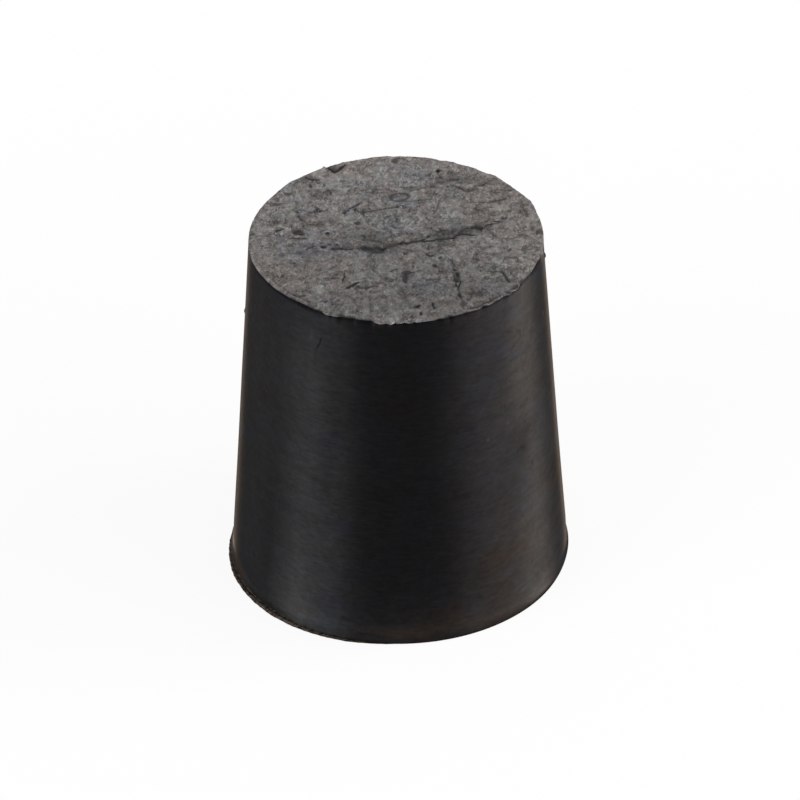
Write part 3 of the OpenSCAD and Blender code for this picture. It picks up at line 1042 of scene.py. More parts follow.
@dataclass
class NarrowFace:
    """The flat end that goes into the neck, matted by wear and crossed by a fold and cuts."""

    radius: float = 12.5
    cells: int = 200
    mat_height: float = 0.016
    dent_height: float = 0.02
    sag: float = 0.03
    chip_bearing: float = 115.0
    chip_width: float = 1.8
    chip_reach: float = 1.0
    chip_depth: float = 0.05
    strokes: tuple[Stroke, ...] = FOLD + GOUGE + CUTS + EDGES
    spots: tuple[Spot, ...] = PITS + PATCHES
    # What makes the marks ragged: waves to a millimetre, reach in millimetres, and level of the noise
    wobbles: tuple[tuple[float, float, float], ...] = ((2.3, 0.10, 4.0), (6.1, 0.05, 9.0))
    # The noise that pushes points about starts from the clock unless it is given a seed
    seed: int = 7
    # Marks darker than this get smaller cells, as far round them as the margins say
    sharp: float = 0.55
    stroke_margin: float = 0.16
    spot_margin: float = 0.12
    least_stain: float = -0.8
    most_stain: float = 0.6
    # In half widths from a stroke's middle: where its black and its stain start to go and end,
    # where its burr stands, how wide that is, and how far its halo and its warmth reach
    black_ends: Point = (0.3, 1.5)
    stain_ends: Point = (0.5, 1.5)
    burr_at: float = 1.6
    burr_width: float = 0.5
    halo_reach: float = 3.0
    warmth_reach: float = 2.0

    def wobbled(self, points: np.ndarray) -> np.ndarray:
        """Pushes points about, so that the marks get ragged edges.

        Args:
            points: The points, in rows of two.

        Returns:
            The moved points.
        """
        noise.seed_set(self.seed)
        moved = points
        for per_mm, reach, level in self.wobbles:
            rows = [noise.noise_vector(Vector((x * per_mm, y * per_mm, level))) * reach for x, y in points]
            moved = moved + np.array(rows)[:, :2]
        return moved

    def marks(self, points: np.ndarray) -> dict[str, np.ndarray]:
        """Works out every mark.

        Args:
            points: The points, in rows of two.

        Returns:
            At each point the height that the marks add, and how much of a scar, a stain and a warm tint there
            is; the stain also holds the painted light of some broad patches.
        """
        moved = self.wobbled(points)
        height = np.zeros(len(points))
        scar = np.zeros(len(points))
        stain = np.zeros(len(points))
        warmth = np.zeros(len(points))
        uneven = np.maximum(1.0 + 0.5 * wander(points, 1.3, 3.0) + 0.4 * wander(points, 3.9, 4.0), 0.45)
        for stroke in self.strokes:
            offset = stroke.offset(moved) * uneven
            height -= stroke.depth * np.clip(1.0 - offset, 0.0, 1.0) ** 0.8
            beside = (offset - self.burr_at) / self.burr_width
            height += stroke.burr * stroke.depth * np.exp(-(beside**2))
            scar = np.maximum(scar, stroke.dark**1.1 * (1.0 - soft_step(*self.black_ends, offset)))
            stain += stroke.halo * stroke.dark * np.exp(-((offset / self.halo_reach) ** 2))
            stain += stroke.stain * (1.0 - soft_step(*self.stain_ends, offset))
            warmth += stroke.warmth * np.exp(-((offset / self.warmth_reach) ** 2))
        for spot in self.spots:
            cover = spot.cover(moved)
            height -= spot.depth * cover
            scar = np.maximum(scar, spot.dark**1.1 * cover)
            stain += spot.stain * cover
            warmth += spot.warmth * cover
        stain = np.clip(stain, self.least_stain, self.most_stain)
        return {"height": height, "scar": scar, "stain": stain, "warmth": warmth}

    def chip(self, points: np.ndarray) -> np.ndarray:
        """Works out the corner that is knocked out of the rim.

        Args:
            points: The points, in rows of two.

        Returns:
            How deep it is at each point.
        """
        turn = math.radians(self.chip_bearing)
        way = np.array([math.cos(turn), math.sin(turn)])
        across = np.array([-way[1], way[0]])
        inward = points @ way - (self.radius - self.chip_reach)
        side = abs(points @ across)
        spare = inward * self.chip_width / 2 / self.chip_reach - side
        return self.chip_depth * np.clip(inward / self.chip_reach, 0.0, 1.2) * soft_step(-0.06, 0.10, spare)

    def needs_detail(self, points: np.ndarray) -> np.ndarray:
        """Says which points are near a sharp mark.

        Args:
            points: The points, in rows of two.

        Returns:
            Whether each point is near one.
        """
        near = np.zeros(len(points), bool)
        for stroke in self.strokes:
            if stroke.dark > self.sharp:
                near |= stroke.nearest(points)[0] < stroke.width / 2 + self.stroke_margin
        for spot in self.spots:
            if spot.dark > self.sharp:
                away = np.linalg.norm(points - np.array(spot.centre), axis=1)
                near |= away < spot.long + self.spot_margin
        return near

    def roughness(self, points: np.ndarray) -> np.ndarray:
        """Works out the matted surface without its marks.

        Args:
            points: The points, in rows of two.

        Returns:
            The height at each point.
        """
        matted = self.mat_height * (wander(points, 2.6, 1.0) + 0.6 * wander(points, 5.3, 2.0))
        return matted + self.dent_height * wander(points, 0.75, 5.0) + self.sag * wander(points, 0.17, 6.0)


@dataclass
class RaggedRim:
    """The corner between the narrow face and the side, which wear has frayed."""

    radius: float = 12.5
    fray: float = 0.03
    fade: float = 0.22
    # How far from the rim, down the side or in over the face, its wear is worked out
    reach: float = 3.0
    # How fast the painted shade at the edge of the face fades inwards, in millimetres
    shade_fade: float = 0.25
    # Painted shadow under the rim, a band whose reflection is cut: how much less, how far down and how wide
    shadow: float = 0.55
    shadow_drop: float = 0.2
    shadow_width: float = 0.16
    # Painted shade at the edge of the face, and painted highlight where below 0: how much darker it is, as
    # bearing and share of its light
    shade: tuple[Point, ...] = (
        (-180.0, 0.0), (-150.0, 0.0), (-143.0, 0.08), (-128.0, 0.05), (-116.0, 0.1), (-113.0, 0.3),
        (-109.0, 0.3), (-106.0, 0.1), (-99.0, 0.1), (-95.0, -0.2), (-88.0, -0.12), (-80.0, 0.0),
        (-74.0, 0.1), (-71.0, 0.4), (-66.0, 0.2), (-50.0, 0.1), (-40.0, 0.3), (-34.0, 0.3), (-15.0, 0.1),
        (0.0, 0.0), (180.0, 0.0),
    )
    # Painted shade on the rim's round: how much darker it is at its lower edge
    round_shade: tuple[Point, ...] = (
        (-180.0, 0.8), (-121.0, 0.8), (-119.0, 0.4), (-114.0, 0.4), (-112.0, 0.9), (-99.5, 0.8),
        (-98.5, 0.3), (-83.0, 0.3), (-80.0, 0.7), (-70.0, 0.85), (-61.0, 0.75), (-52.0, 0.7),
        (-43.0, 0.75), (-41.0, 0.45), (-36.0, 0.45), (-34.0, 0.85), (180.0, 0.85),
    )
    # Where the rim stands out, as bearing and distance. It jumps where two bearings are close.
    stands_out: tuple[Point, ...] = (
        (-180.0, 0.0), (-166.0, 0.03), (-157.0, -0.01), (-151.0, -0.05), (-144.0, -0.08),
        (-141.5, -0.15), (-139.0, -0.18), (-137.0, -0.14), (-135.0, -0.23), (-132.0, -0.31),
        (-128.0, -0.32), (-126.0, -0.23), (-123.7, -0.17), (-122.0, -0.27), (-120.7, -0.23),
        (-119.5, -0.03), (-118.0, 0.16), (-117.0, 0.19), (-116.0, 0.02), (-115.0, 0.09), (-113.5, 0.02),
        (-112.0, -0.21), (-109.0, -0.27), (-106.7, -0.39), (-106.2, -0.28), (-104.0, -0.26),
        (-100.0, -0.31), (-99.3, -0.26), (-98.6, 0.0), (-97.6, 0.14), (-96.6, 0.32), (-95.2, 0.29),
        (-94.6, 0.11), (-93.6, 0.09), (-92.5, 0.38), (-91.7, 0.2), (-91.2, 0.05), (-90.4, -0.04),
        (-89.8, 0.09), (-88.3, 0.1), (-87.7, -0.05), (-86.4, -0.02), (-85.2, 0.13), (-84.2, 0.04),
        (-83.4, -0.15), (-82.6, 0.04), (-77.0, 0.05), (-75.0, -0.01), (-74.0, -0.11), (-72.0, 0.03),
        (-70.3, 0.0), (-69.2, -0.16), (-68.0, 0.01), (-64.8, 0.03), (-63.4, -0.05), (-61.7, 0.05),
        (-60.0, 0.12), (-57.2, 0.19), (-56.0, 0.0), (-54.7, -0.15), (-52.2, 0.23), (-50.7, 0.17),
        (-48.6, 0.08), (-46.5, 0.14), (-44.5, 0.04), (-43.0, 0.22), (-41.7, 0.4), (-40.3, 0.23),
        (-38.3, 0.32), (-35.3, 0.2), (-34.2, 0.02), (-32.6, -0.16), (-30.0, -0.15), (-27.5, -0.12),
        (-24.7, -0.06), (-19.0, -0.1), (-16.4, -0.12), (-14.6, -0.02), (-13.2, 0.19), (-10.7, 0.2),
        (-9.0, 0.0), (16.0, 0.05), (21.0, 0.21), (25.0, 0.3), (28.0, 0.21), (36.0, 0.09), (42.0, 0.13),
        (46.0, 0.23), (48.0, 0.27), (51.0, 0.08), (53.0, 0.03), (57.0, 0.14), (60.0, 0.12), (64.0, 0.02),
        (67.0, 0.16), (70.0, 0.1), (72.0, 0.0), (74.0, 0.12), (79.0, 0.18), (83.0, 0.12), (86.0, 0.06),
        (88.0, 0.15), (90.5, 0.07), (93.0, 0.18), (98.0, 0.19), (101.0, 0.08), (103.0, 0.1),
        (106.0, 0.06), (110.0, 0.04), (111.0, 0.16), (113.0, 0.09), (117.0, 0.09), (118.6, 0.3),
        (120.0, 0.1), (121.5, 0.04), (124.0, 0.02), (128.0, 0.01), (132.0, 0.04), (135.0, 0.15),
        (138.0, 0.08), (142.0, 0.0), (146.0, -0.06), (150.0, -0.05), (158.0, 0.0), (170.0, 0.03),
        (180.0, 0.0),
    )

    def painted_rim_shade(self, bearings: np.ndarray, inward: np.ndarray, over: np.ndarray) -> np.ndarray:
        """Works out the painted shade near the rim, on the edge of the face and over its round, with painted
        highlight where the edge's table is below 0.

        Args:
            bearings: The bearings, from -180 to 180.
            inward: How far each point is from the edge of the flat.
            over: How far round the rim each point is, as a share of its round.

        Returns:
            The share of its light that each point loses.
        """
        shade, round_shade = np.array(self.shade), np.array(self.round_shade)
        edge = np.interp(bearings, shade[:, 0], shade[:, 1]) * np.exp(-np.maximum(inward, 0.0) / self.shade_fade)
        return edge + np.interp(bearings, round_shade[:, 0], round_shade[:, 1]) * np.sqrt(np.clip(over, 0.0, 1.0))

    def outward(self, bearings: np.ndarray) -> np.ndarray:
        """Works out how far the rim stands out.

        Args:
            bearings: The bearings, from -180 to 180.

        Returns:
            The distance at each.
        """
        table = np.array(self.stands_out)
        turned = np.radians(bearings)
        round_it = np.column_stack([np.cos(turned), np.sin(turned)]) * self.radius
        frayed = wander(round_it, 2.3, 7.0) + 0.8 * wander(round_it, 4.9, 8.0)
        return np.interp(bearings, table[:, 0], table[:, 1]) + self.fray * frayed


@dataclass(frozen=True)
class Gleam:
    """A soft patch on the side that is duller or glossier, warmer or colder, than what is round it. In the
    side's table it paints highlight and shade into the reflection.
    """

    bearing: float
    height: float
    wide: float
    tall: float
    gloss: float = 0.0
    warmth: float = 0.0

    def cover(self, bearings: np.ndarray, heights: np.ndarray) -> np.ndarray:
        """Says how much each point is covered.

        Args:
            bearings: The points' bearings, from -180 to 180.
            heights: Their heights above the ground.

        Returns:
            The shares, 1 in the middle.
        """
        turn = (bearings - self.bearing + 180.0) % 360.0 - 180.0
        return np.exp(-((turn / self.wide) ** 2) - ((heights - self.height) / self.tall) ** 2)


@dataclass(frozen=True)
class Scratch:
    """A fine scratch, speck or crumb on the side, which runs from bearing and height to the next."""

    path: tuple[Point, ...]
    width: float
    gloss: float = 0.0
    proud: float = 0.0
    # How many millimetres there are to a degree of bearing
    degree: float = 0.227

    def cover(self, bearings: np.ndarray, heights: np.ndarray) -> np.ndarray:
        """Says how much each point is covered.

        Args:
            bearings: The points' bearings, from -180 to 180.
            heights: Their heights above the ground.

        Returns:
            The shares, 1 along its middle.
        """
        path = tuple((bearing * self.degree, height) for bearing, height in self.path)
        line = Stroke(path, self.width, 0.0)
        away = line.nearest(np.column_stack([bearings % 360.0 * self.degree, heights]))[0]
        return np.exp(-((2.0 * away / self.width) ** 2))


@dataclass
class TaperedSide:
    """The smooth side, from the rim's round down to where the lip starts to flare."""

    narrow_radius: float = 12.5
    wide_radius: float = 14.5
    height: float = 32.0
    rim_round: float = 0.1
    rim_steps: int = 4
    wave: float = 0.012
    # How far the side swells past a straight taper at each height, and how much of that there is
    # at bearings 90 and 270. It is in full at bearing 0 and least at bearing 180.
    swell: tuple[Point, ...] = (
        (0.0, 0.0), (1.2, 0.05), (2.5, 0.085), (5.0, 0.06), (8.0, 0.03), (12.0, 0.0), (32.0, -0.02),
    )
    swell_even: float = 0.7
    # How far under the face the swell starts
    plain_drop: float = 0.2
    upper_rings: tuple[float, ...] = (0.1, 0.22, 0.4, 0.7, 1.1, 1.3, 1.4, 1.5, 1.6, 1.75, 2.2, 3.4)
    # Painted highlights and painted shade: patches where the side's reflection is brighter or duller, warmer
    # or colder
    painted_gleams: tuple[Gleam, ...] = (
        Gleam(317.0, 14.0, 9.0, 5.0, -0.2),
        Gleam(312.0, 24.0, 5.0, 6.0, -0.12),
        Gleam(203.0, 27.0, 9.0, 7.0, 0.16, 0.5),
        Gleam(243.0, 2.0, 7.0, 3.0, 0.14, -0.2),
        Gleam(300.0, 23.5, 5.0, 3.0, 0.0, -0.35),
        Gleam(334.0, 3.0, 8.0, 3.0, -0.17, 0.3),
        Gleam(324.0, 14.0, 5.0, 14.0, -0.07),
        Gleam(317.0, 30.0, 5.0, 3.0, -0.12),
        Gleam(243.0, 28.0, 5.0, 4.0, -0.13),
        Gleam(243.0, 17.0, 5.0, 5.0, -0.15),
        Gleam(219.0, 9.0, 6.0, 9.0, -0.1),
        Gleam(217.5, 5.5, 3.2, 8.0, -0.17),
        Gleam(233.0, 6.0, 4.0, 6.0, 0.1),
        Gleam(232.0, 24.0, 5.0, 9.0, -0.13),
        Gleam(235.0, 30.8, 8.0, 1.6, -0.24),
        Gleam(322.0, 16.8, 6.0, 2.4, -0.28),
        Gleam(336.0, 16.0, 4.0, 4.0, -0.12),
        Gleam(192.0, 8.0, 4.0, 8.0, 0.1, 0.6),
        Gleam(306.0, 4.0, 14.0, 6.0, 0.0, 0.6),
        # Painted highlights on the flare over the lip, in front and to the left, and painted shade along its
        # foot
        Gleam(228.0, 2.3, 9.0, 2.8, 0.5),
        Gleam(232.0, 0.8, 14.0, 0.6, 0.45),
        Gleam(197.0, 0.6, 11.0, 0.5, 0.9, 0.9),
        Gleam(272.0, 0.85, 16.0, 0.65, 2.1, 0.9),
        Gleam(276.0, 2.0, 18.0, 1.6, 0.75, 0.3),
        Gleam(288.0, 2.4, 8.0, 2.0, 0.2, 0.5),
        Gleam(300.0, 0.7, 12.0, 0.6, 0.35, 0.3),
        Gleam(318.0, 0.05, 20.0, 0.3, -0.7, 0.6),
        Gleam(329.0, 0.1, 9.0, 0.28, -0.7, 0.4),
        Gleam(327.0, 1.1, 7.0, 1.0, 0.32),
        Gleam(183.0, 0.7, 5.0, 0.8, 1.5, 0.3),
        # Painted highlights and painted shade over more of the front of the side
        Gleam(358.0, 16.0, 12.0, 40.0, 0.2),
        Gleam(247.0, 22.5, 4.0, 4.5, -0.16),
        Gleam(287.5, 21.0, 4.5, 5.0, 0.28),
        Gleam(331.0, 17.5, 3.0, 3.0, -0.12),
        Gleam(352.0, 1.5, 10.0, 1.5, -0.25),
    )
    ring_gap: float = 2.3
    lower_rings: tuple[float, ...] = (2.4, 1.6, 1.0, 0.45, 0.0)
    # Crumbs of rubber, then scratches and specks
    nicks: tuple[Scratch, ...] = (
        Scratch(((357.0, 30.45), (357.0, 30.55)), 0.32, proud=0.15),
        Scratch(((184.0, 31.85), (184.0, 31.95)), 0.3, proud=0.1),
        Scratch(((180.5, 24.7), (180.5, 24.9)), 0.26, proud=0.08),
        Scratch(((239.8, 29.4), (239.2, 28.9), (238.0, 28.3)), 0.15, -0.66, -0.004),
        Scratch(((237.8, 28.2), (237.2, 27.4), (237.5, 26.6)), 0.15, -0.2),
        Scratch(((235.5, 29.6), (235.0, 28.6), (236.0, 27.4)), 0.3, 0.16),
        Scratch(((321.6, 27.9), (324.2, 27.5), (324.4, 26.9), (321.5, 26.7), (318.0, 26.3)), 0.2, -0.34),
        Scratch(((316.0, 28.4), (319.5, 27.9)), 0.2, -0.22),
        Scratch(((327.0, 24.4), (324.0, 23.6)), 0.24, -0.22),
        Scratch(((318.4, 16.0), (320.4, 16.2), (322.6, 16.0)), 0.18, -0.3),
        Scratch(((326.6, 13.7), (326.8, 13.9)), 0.24, -0.5),
        Scratch(((304.6, 18.7), (304.8, 18.7)), 0.26, 0.9),
        Scratch(((314.4, 19.4), (314.5, 19.4)), 0.22, 0.5),
        Scratch(((312.6, 21.6), (312.7, 21.6)), 0.22, 0.3),
        Scratch(((344.6, 26.4), (344.8, 26.5)), 0.24, 1.4),
        Scratch(((229.0, 9.3), (229.2, 9.3)), 0.24, 0.5),
        Scratch(((245.0, 19.5), (247.5, 19.7)), 0.22, 0.2),
    )
    # How finely the side is cut there, how tall a cell must be for it, and how much of a nick it needs
    nick_cuts: int = 14
    tall_cell: float = 0.5
    least_nick: float = 0.04

    @property
    def lean(self) -> float:
        """The side's angle from upright, in radians."""
        return math.atan2(self.wide_radius - self.narrow_radius, self.height)

    @property
    def rim_centre(self) -> Point:
        """The centre of the rim's round, as radius and height."""
        height = self.height - self.rim_round
        return self.radius_at(height) - self.rim_round / math.cos(self.lean), height

    def radius_at(self, height: float) -> float:
        """The side's radius at a height."""
        return self.wide_radius - height * math.tan(self.lean)

    def pull(self, casting: Casting, foot: float) -> None:
        """Draws the rim's round and the side down from the face.

        Args:
            casting: The skin so far.
            foot: The height at which the side ends.
        """
        centre = self.rim_centre
        for step in range(1, self.rim_steps + 1):
            turn = math.pi / 2 + (self.lean - math.pi / 2) * step / self.rim_steps
            radius = centre[0] + self.rim_round * math.cos(turn)
            casting.pull(radius, centre[1] + self.rim_round * math.sin(turn), Zone.FACE)
        top = casting.height
        for drop in self.upper_rings:
            casting.pull(self.radius_at(top - drop), top - drop, Zone.SIDE)
        start = casting.height
        left = start - foot - self.lower_rings[0]
        steps = round(left / self.ring_gap)
        heights = [start - left * step / steps for step in range(1, steps + 1)]
        for height in heights + [foot + rise for rise in self.lower_rings[1:]]:
            casting.pull(self.radius_at(height), height, Zone.SIDE)

    def refine(self, mesh: bmesh.types.BMesh) -> None:
        """Cuts the side's tall cells across where a scratch or a crumb lies on them.

        Args:
            mesh: The skin.
        """
        tall = [e for e in mesh.edges if abs(e.verts[0].co.z - e.verts[1].co.z) > self.tall_cell]
        ends = np.array([[vert.co[:] for vert in edge.verts] for edge in tall])
        bearings = np.degrees(np.arctan2(ends[:, 0, 1], ends[:, 0, 0]))
        wanted = np.zeros(len(tall), bool)
        for share in np.linspace(0.0, 1.0, self.nick_cuts + 2):
            heights = ends[:, 0, 2] * (1.0 - share) + ends[:, 1, 2] * share
            for nick in self.nicks:
                wanted |= nick.cover(bearings, heights) > self.least_nick
        edges = [edge for edge, near in zip(tall, wanted) if near]
        bmesh.ops.subdivide_edges(mesh, edges=edges, cuts=self.nick_cuts, use_grid_fill=True)

    def shine(self, bearings: np.ndarray, heights: np.ndarray) -> dict[str, np.ndarray]:
        """Adds up the painted highlights and painted shade of the gleams, and the scratches' own gloss.

        Args:
            bearings: The points' bearings, from -180 to 180.
            heights: Their heights above the ground.

        Returns:
            How much glossier and how much warmer each point is.
        """
        covers = [gleam.cover(bearings, heights) for gleam in self.painted_gleams]
        fine = sum(nick.gloss * nick.cover(bearings, heights) for nick in self.nicks)
        return {
            "gloss": sum(gleam.gloss * cover for gleam, cover in zip(self.painted_gleams, covers)) + fine,
            "painted_sheen_warmth": sum(gleam.warmth * cover for gleam, cover in zip(self.painted_gleams, covers)),
        }

    def bulge(self, points: np.ndarray) -> np.ndarray:
        """Works out the side's slight waves and the crumbs on it.

        Args:
            points: The points, in rows of three.

        Returns:
            How far each point moves outwards.
        """
        radii = np.maximum(np.hypot(points[:, 0], points[:, 1]), 1e-6)
        uneven = self.swell_even + (1.0 - self.swell_even) * points[:, 0] / radii
        table = np.array(self.swell)
        out = np.interp(points[:, 2], table[:, 0], table[:, 1]) * uneven
        out += self.wave * wander(points, 0.11, 11.0)
        bearings = np.degrees(np.arctan2(points[:, 1], points[:, 0]))
        return out + sum(nick.proud * nick.cover(bearings, points[:, 2]) for nick in self.nicks if nick.proud)


@dataclass
class MouldedLip:
    """The lip round the wide end, with a crescent of flash left on one side of it."""

    side_radius: float = 14.5
    proud: float = 0.19
    height: float = 0.2
    sweep: float = 2.0
    sweep_steps: int = 7
    foot_bevel: float = 0.08
    flash_reach: float = 0.52
    flash_spread: float = 47.0
    flash_height: float = 0.16
    flash_bearing: float = 221.0
    # The reach at which the flash has its full section, and that at which it is fully torn
    full_section: float = 0.2
    full_tear: float = 0.12
    tear: float = 0.05
    # The circle on which the tears are laid out
    tear_circle: float = 15.0
    # Room between the lip's upper edge and its foot in which the flash's rings wait to be drawn out
    skirt: float = 0.012
    # Across the flash, as share of its reach, height that it adds and how torn it is
    section: tuple[tuple[float, float, float], ...] = (
        (0.0, 0.0, 0.45),
        (0.22, -0.05, 0.36),
        (0.42, 0.03, 1.0),
        (0.8, 0.01, 0.8),
        (1.0, -0.02, 0.3),
    )
    # How torn the flash is along its length, as bearing and share
    ragged: tuple[Point, ...] = (
        (170.0, 1.6), (186.0, 1.6), (190.0, 1.0), (236.0, 1.0), (244.0, 0.8), (256.0, 0.4), (262.0, 0.1),
    )
    # The left end is torn in another way: at the root, how much less at the edge, and between
    # which bearings the one gives way to the other
    left_torn: float = 0.85
    left_fall: float = 0.4
    left_ends: Point = (202.0, 216.0)
    # How far the lip falls back on the right, and how far round and up that reaches
    pinch: float = 0.08
    pinch_bearing: float = 345.0
    pinch_wide: float = 16.0
    pinch_tall: float = 0.6
    # What of the skin moves with the lip's edge, and what of that is its foot
    edge_width: float = 0.075
    foot_top: float = 0.1
    sole_rings: tuple[float, ...] = (0.97, 0.8, 0.4)

    def sweep_circle(self, side: TaperedSide) -> tuple[Point, float]:
        """Finds the circle that hollows the flare, which touches the side.

        Args:
            side: The side that it touches.

        Returns:
            Its centre as radius and height, and the height where it touches.
        """
        lean = side.lean
        off = self.proud * math.cos(lean) + self.height * math.sin(lean)
        run = math.sqrt(2 * self.sweep * off - off * off)
        lip = side.wide_radius + self.proud
        centre = (
            lip + (self.sweep - off) * math.cos(lean) - run * math.sin(lean),
            self.height + (self.sweep - off) * math.sin(lean) + run * math.cos(lean),
        )
        return centre, centre[1] - self.sweep * math.sin(lean)

    def pull(self, casting: Casting, side: TaperedSide) -> None:
        """Draws the flare, the lip's edge and the underside, and closes the skin.

        Args:
            casting: The skin so far.
            side: The side above the lip.
        """
        (across, above), _ = self.sweep_circle(side)
        lip = side.wide_radius + self.proud
        start = math.pi + side.lean
        end = math.atan2(self.height - above, lip - across) % (2 * math.pi)
        for step in range(1, self.sweep_steps + 1):
            turn = start + (end - start) * step / self.sweep_steps
            radius = across + self.sweep * math.cos(turn)
            casting.pull(radius, above + self.sweep * math.sin(turn), Zone.SIDE)
        for share, _, _ in self.section:
            casting.pull(lip + self.skirt * share, self.flash_height, Zone.LIP)
        casting.pull(lip + self.skirt, self.foot_bevel, Zone.LIP)
        casting.pull(lip + self.skirt - self.foot_bevel, 0.0, Zone.LIP)
        for share in self.sole_rings:
            casting.pull(lip * share, 0.0, Zone.SIDE)
        casting.close()

    def flash(self, bearings: np.ndarray) -> np.ndarray:
        """Works out how far the flash stands out past the lip.

        Args:
            bearings: The bearings in degrees.

        Returns:
            The distance at each, 0 where there is none.
        """
        lip = self.side_radius + self.proud
        tip = lip + self.flash_reach
        spread = math.radians(self.flash_spread)
        shift = (tip**2 - lip**2) / (2 * (tip - lip * math.cos(spread)))
        radius = tip - shift
        turn = np.radians(bearings - self.flash_bearing)
        reach = shift * np.cos(turn) + np.sqrt(np.maximum(radius**2 - (shift * np.sin(turn)) ** 2, 0.0))
        return np.maximum(reach - lip, 0.0)

    def across(self, shares: np.ndarray, bearings: np.ndarray) -> tuple[np.ndarray, np.ndarray]:
        """Looks up the flash's section.

        Args:
            shares: How far across the flash each point is, from 0 at its root to 1 at its edge.
            bearings: The points' bearings, from -180 to 180.

        Returns:
            How much each point rises, and how torn it is.
        """
        section, ragged = np.array(self.section), np.array(self.ragged)
        turned = bearings % 360.0
        grown = soft_step(0.0, self.full_section, self.flash(bearings))
        along = np.interp(turned, ragged[:, 0], ragged[:, 1]) * grown
        torn = np.interp(shares, section[:, 0], section[:, 2])
        near, far = self.left_ends
        torn += (self.left_torn - self.left_fall * shares - torn) * soft_step(-far, -near, -turned)
        return np.interp(shares, section[:, 0], section[:, 1]) * grown, torn * along

    def fall_back(self, bearings: np.ndarray, heights: np.ndarray) -> np.ndarray:
        """Works out how far the lip falls back on the right.

        Args:
            bearings: The points' bearings, from -180 to 180.
            heights: Their heights above the ground.

        Returns:
            How far each point moves inwards.
        """
        pinched = Gleam(self.pinch_bearing, 0.0, self.pinch_wide, self.pinch_tall)
        return pinched.cover(bearings, heights) * self.pinch

    def torn_edge(self, bearings: np.ndarray) -> np.ndarray:
        """Works out the flash's torn outline.

        Args:
            bearings: The bearings in degrees.

        Returns:
            How far the edge of the flash is from its smooth outline.
        """
        turned = np.radians(bearings)
        round_it = np.column_stack([np.cos(turned), np.sin(turned)]) * self.tear_circle
        scallops = abs(wander(round_it, 0.9, 21.0)) * 1.4 - 0.4
        return self.tear * (scallops + 0.7 * wander(round_it, 3.1, 22.0))


